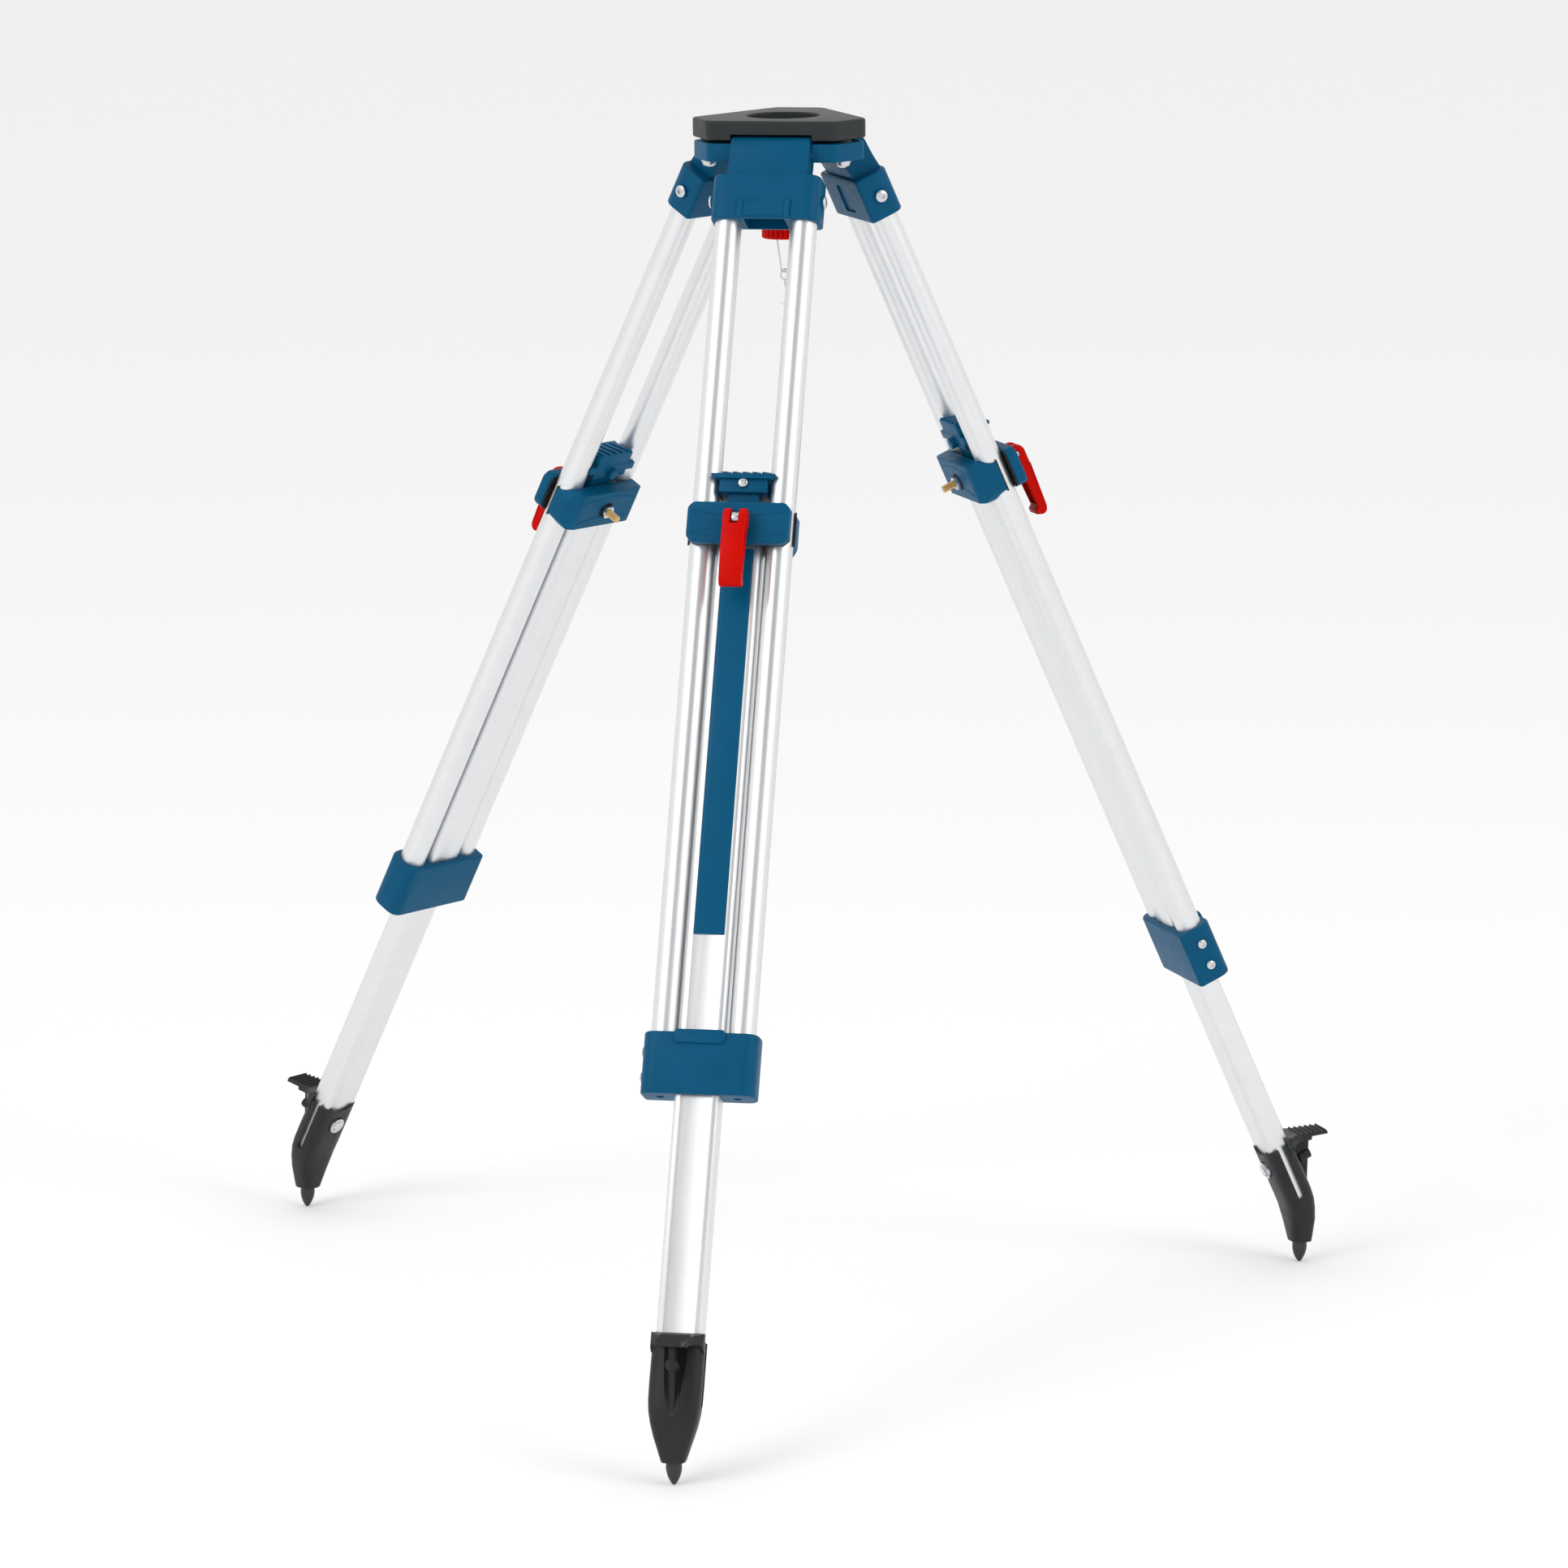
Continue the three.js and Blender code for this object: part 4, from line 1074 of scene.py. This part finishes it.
def lever():
    """The red cam lever, closed: its round knuckle bears on the clamp's front plate."""
    outer = LEVER_PIVOT - KNUCKLE - 0.7
    front = LEVER_PIVOT + KNUCKLE
    profile = arc(LEVER_PIVOT, 0, KNUCKLE, 0, 180, 28)
    profile += [(LEVER_PIVOT - KNUCKLE, -13.3), (outer, -14.2)]
    profile += [tuple(p) for p in bend(Vector((-44.5, -60)), Vector((-43.5, -68)),
                                       Vector((-37, -67.5)), 8)]
    profile += [(-31.5, -65), (-31.5, -61), (-35, -58), (-33.5, -16)]
    profile += [tuple(p) for p in bend(Vector((-33.5, -16)), Vector((front, -10)),
                                       Vector((front, 0)), 8)][1:-1]
    side_pocket = rounded([(-45.2, -14), (-40, -12), (-38.5, -52), (-42.5, -58)], 1.5, 3)
    narrow = LEVER_HALF - 0.7
    front_view = [(-LEVER_HALF, 20), (-LEVER_HALF, -8), (-narrow, -75), (narrow, -75),
                  (LEVER_HALF, -8), (LEVER_HALF, 20)]
    return cut(
        overlap(slab(profile, -LEVER_HALF, LEVER_HALF, 2.0), panel(front_view, -60, -15)),
        rod("X", 3.3, -20, 20, (LEVER_PIVOT, 0), sides=32),
        block((-4.4, 4.4), (-60, -20), (-7, 14), 1.2),
        block((-LEVER_HALF + 2.6, LEVER_HALF - 2.6), (-40, -30), (-56, -20), 1.5),
        *[slab(side_pocket, *sorted((side * 10.5, side * 20))) for side in (-1, 1)],
    )


def lever_pin():
    """The pin that the lever turns about, with a small socket in each end."""
    pin = rod("X", 3, 0.4 - LEVER_HALF, LEVER_HALF - 0.4, (LEVER_PIVOT, 0), 0.5, 32)
    sockets = [slab(circle(1.4, LEVER_PIVOT, 0, 24), *sorted((side * 9.6, side * 20)))
               for side in (-1, 1)]
    return cut(pin, *sockets)


def strip(length):
    """The plastic strip in the extension's channel."""
    outer = -EXTENSION_Y + CHANNEL_DEPTH - GAP
    half = CHANNEL_HALF - GAP
    top = -CLAMP_Z - 3
    section = rounded([(-half, outer), (-half, outer - 0.5), (-half + 3, outer - 1.4, 0.8),
                       (half - 1, outer - 1.4, 0.4), (half, outer - 0.5), (half, outer)], 0, 3)
    return prism(section, top - length, top, 0.15, 2)


def boot_sections(count):
    """The boot's sections from rim to heel: height, half width, half depth, centre, slope."""
    tilt = math.tan(FOOT_CANT)
    heel_centre = TIP_INSET - (TIP_LENGTH + GAP) * math.sin(FOOT_CANT)
    heel = -FOOT_LENGTH + (TIP_LENGTH + GAP) * math.cos(FOOT_CANT)
    guides = [
        (BOOT_TOP, 24.9, 16, -0.4, 0), (BOOT_TOP - 40, 25.1, 16.2, -0.9, 0),
        (BOOT_TOP - 56, 24.9, 16.1, -0.9, 0), (BOOT_TOP - 66, 24.0, 15.8, -0.4, 0.03),
        (BOOT_TOP - 76, 22.0, 15.1, 1.6, 0.11), (BOOT_TOP - 87, 18.8, 13.8, 4.6, 0.22),
        (heel, 11.5, 10, heel_centre, tilt),
    ]
    rows = []
    for upper, lower in zip(guides, guides[1:]):
        for step in range(count):
            share = step / count
            rows.append(tuple(a + (b - a) * share for a, b in zip(upper, lower)))
    return rows + [guides[-1]]


def boot_body():
    """A column through the boot's sections, each a rectangle with soft corners."""
    softness = 0.62
    rings = []
    for height, half_width, half_depth, centre, slope in boot_sections(4):
        ring = []
        for x, y in circle(1, sides=64):
            across = math.copysign(abs(x) ** softness, x) * half_width
            inwards = math.copysign(abs(y) ** softness, y) * half_depth
            ring.append((across, centre + inwards, height + slope * inwards))
        rings.append(ring)
    return skin(rings)


def boot_valley():
    """What is taken from the boot's outer face to leave a shallow, tapering valley."""
    rings = []
    for height, half_width, depth in ((8, 11.5, 2.6), (-20, 10.5, 2.6), (-50, 7.5, 2.1),
                                      (-70, 4, 1.3), (-82, 1.2, 0.4)):
        rings.append([(x * half_width, -16.9 + y * depth, BOOT_TOP + height)
                      for x, y in circle(1, sides=40)])
    return skin(rings)


def pedal_top(y):
    """The height of the pedal's top at a distance from the leg's axis."""
    return PEDAL_ROOT + (y + 14) * PEDAL_SLOPE


def pedal():
    """A ridged step that narrows outwards, to push the foot into the ground."""
    end = pedal_top(-PEDAL_REACH)
    side_view = rounded([
        (-8, PEDAL_ROOT + 1), (-13, PEDAL_ROOT + 1, 1), (-17, pedal_top(-17), 1.5),
        (-PEDAL_REACH, end, 1.2), (-PEDAL_REACH, end - 4, 1.2), (-39, pedal_top(-39) - 4.4, 0.8),
        (-37.5, pedal_top(-38) - 8, 1), (-18, pedal_top(-18) - 8.5, 2), (-8, BOOT_TOP - 12),
    ], 0, 4)
    plan = rounded([
        (-25, -8), (-25, -14.5, 1), (-14.5, -25, 5), (-12.6, -PEDAL_REACH, 2.5),
        (12.6, -PEDAL_REACH, 2.5), (14.5, -25, 5), (25, -14.5, 1), (25, -8),
    ], 0, 5)
    ridges = []
    for index in range(6):
        y = -27.5 - 5.4 * index
        z = pedal_top(y)
        tooth = rounded([(y - 1.6, z - 2), (y + 1.9, z - 1), (y - 0.6, z + 1.9, 0.5)], 0, 3)
        ridges.append(slab(tooth, -26, 26))
    return overlap(
        join(slab(side_view, -26, 26), *ridges),
        prism(plan, BOOT_TOP - 60, BOOT_TOP + 30),
    )


def boot_rib():
    """The upright rib under the pedal, with a round boss facing outwards."""
    outline = rounded([
        (-38, BOOT_TOP - 9), (-38, BOOT_TOP - 14, 1.5), (-18.5, BOOT_TOP - 54, 8),
        (-14, BOOT_TOP - 76), (-10, BOOT_TOP - 76), (-10, BOOT_TOP - 9),
    ], 0, 5)
    return join(
        slab(outline, -2.4, 2.4, 0.9),
        rod("Y", 5.8, -33.4, -20, (0, BOOT_TOP - 27), 1.0),
    )


def boot():
    """The cast foot: a socket for the extension, a pedal, a rib and a fluted body."""
    shape = join(cut(boot_body(), boot_valley()), pedal(), boot_rib())
    side_slot = rounded([(-2.9, BOOT_TOP - 60, 2.8), (2.9, BOOT_TOP - 60, 2.8),
                         (2.9, BOOT_TOP + 9), (-2.9, BOOT_TOP + 9)], 0, 8)
    return cut(
        shape,
        prism(rectangle(EXTENSION_X + GAP, EXTENSION_Y + GAP, 6), SOCKET_BOTTOM - GAP,
              BOOT_TOP + 60),
        slab(side_slot, -40, 40),
        rod("Y", 3.8, 0, 40, (0, FOOT_SCREW), sides=32),
        rod("Y", 9.7, 14.6, 40, (0, FOOT_SCREW)),
        rod("Y", 24, 5, 40, (0, BOOT_TOP + 20), sides=80),
    )


def foot_tip():
    """The steel point, upright when its leg stands."""
    point = lathe([(0, 0), (0.9, 0.1), (1.7, 0.5), (3.1, 2.1), (5.0, 5.6), (6.4, 9.3),
                   (7.3, 13.2), (TIP_RADIUS, 16.5), (7.3, 20), (6.8, TIP_LENGTH),
                   (0, TIP_LENGTH)], 48)
    cant = Matrix.Rotation(FOOT_CANT, 4, "X")
    return moved(point, Matrix.Translation((0, TIP_INSET, -FOOT_LENGTH)) @ cant)


def foot_screw():
    """The large screw that holds the boot on the extension."""
    upright = join(
        lathe([(0, 2), (3, 2), (3.3, 2.4), (3.3, 15.2), (8.4, 14.9), (9, 15.4), (9, 17.9),
               (8.5, 18.5), (0, 18.5)]),
        prism(hexagon(6.3), 18, 20.2, 0.5),
    )
    return moved(upright, Matrix.Translation((0, 0, FOOT_SCREW)) @ LYING)


def painted_shade_pads():
    """Black pads on the carriage head's sides, by the tubes: painted shade between the head and the
    tubes.
    """
    pads = [block(sorted((side * 22.6, side * 26)), (2, 12), (31, 46), 0.6) for side in (-1, 1)]
    return cut(join(*pads), *tube_holes(TUBE_RADIUS + GAP, 0, 80))


def cap_screw():
    """The pan-head screw in the front of the carriage head."""
    facing = Matrix.Translation((0, -15.3, 42)) @ Matrix.Rotation(math.pi / 2, 4, "X")
    return moved(pan_head(4.7, 2.4, 2.3), facing)


def build_sliding_legs():
    """Every piece that slides in a leg, and its clamp lever."""
    place_sliding("slider", extension(), ALUMINIUM, "anodised_aluminium", "extension")
    place_sliding("carriage", cap(), BLUE, "blue_casting", "cap")
    # Black pads paint the shade between the carriage head and the tubes.
    place_sliding("carriage_shade_pads", painted_shade_pads(), RUBBER_AND_SHADE, "black_casting")
    place_sliding("carriage_screw", cap_screw(), STEEL, "steel")
    place_sliding("clamp_plate", clamp_front(), BLUE, "blue_casting", "clamp_front")
    place_sliding("clamp_wrap", clamp_back(), BLUE, "blue_casting", "clamp_back")
    place_sliding("gasket_front", front_gasket(), RUBBER_AND_SHADE, "black_casting")
    place_sliding("gasket_back", back_gasket(), RUBBER_AND_SHADE, "black_casting")
    place_sliding("eye_bolt", clamp_bolt(), BRASS, "brass", "clamp_bolt")
    place_sliding("bolt_eye", bolt_eye(), STEEL, "steel")
    place_sliding("hex_nut", clamp_nut(), STEEL, "steel", "clamp_nut")
    # A black ring paints the shade in the nut's recess.
    place_sliding("nut_recess_shade_ring", nut_recess_shade_ring(), RUBBER_AND_SHADE, "black_casting")
    place_sliding("cam_lever", lever(), RED, "red_plastic", "lever", "lever")
    place_sliding("cam_pin", lever_pin(), STEEL, "steel", "lever_pin", "lever")
    place_sliding("shoe", boot(), BLACK, "black_casting", "boot")
    place_sliding("point", foot_tip(), DARK_STEEL, "dark_steel", "foot_tip")
    place_sliding("shoe_screw", foot_screw(), STEEL, "steel", "foot_screw")
    for leg in LEGS:
        length = strip_length(leg)
        place(f"label_strip_{leg}", strip(length), SLIDING[leg], STRIP_BLUE, f"extension_{leg}",
              "blue_strip", f"strip_{leg}")


def strip_length(leg):
    """How long the CAD's strip is, along its leg."""
    low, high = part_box(f"strip_{leg}")
    return (high.z - low.z) / MM / SLIDING[leg].to_3x3().col[2].z


# ---- the scene ----------------------------------------------------------------------------

bpy.context.scene.view_settings.view_transform = "Standard"
make_camera()
make_world()
make_light("key_light", (-3.2, -4.0, 4.6), (0, 0, 0.7), 3.0, 90)
make_light("fill_light", (4.2, -1.6, 3.4), (0, 0, 0.7), 2.6, 40)
make_floor()
build_head()
build_upper_legs()
build_sliding_legs()
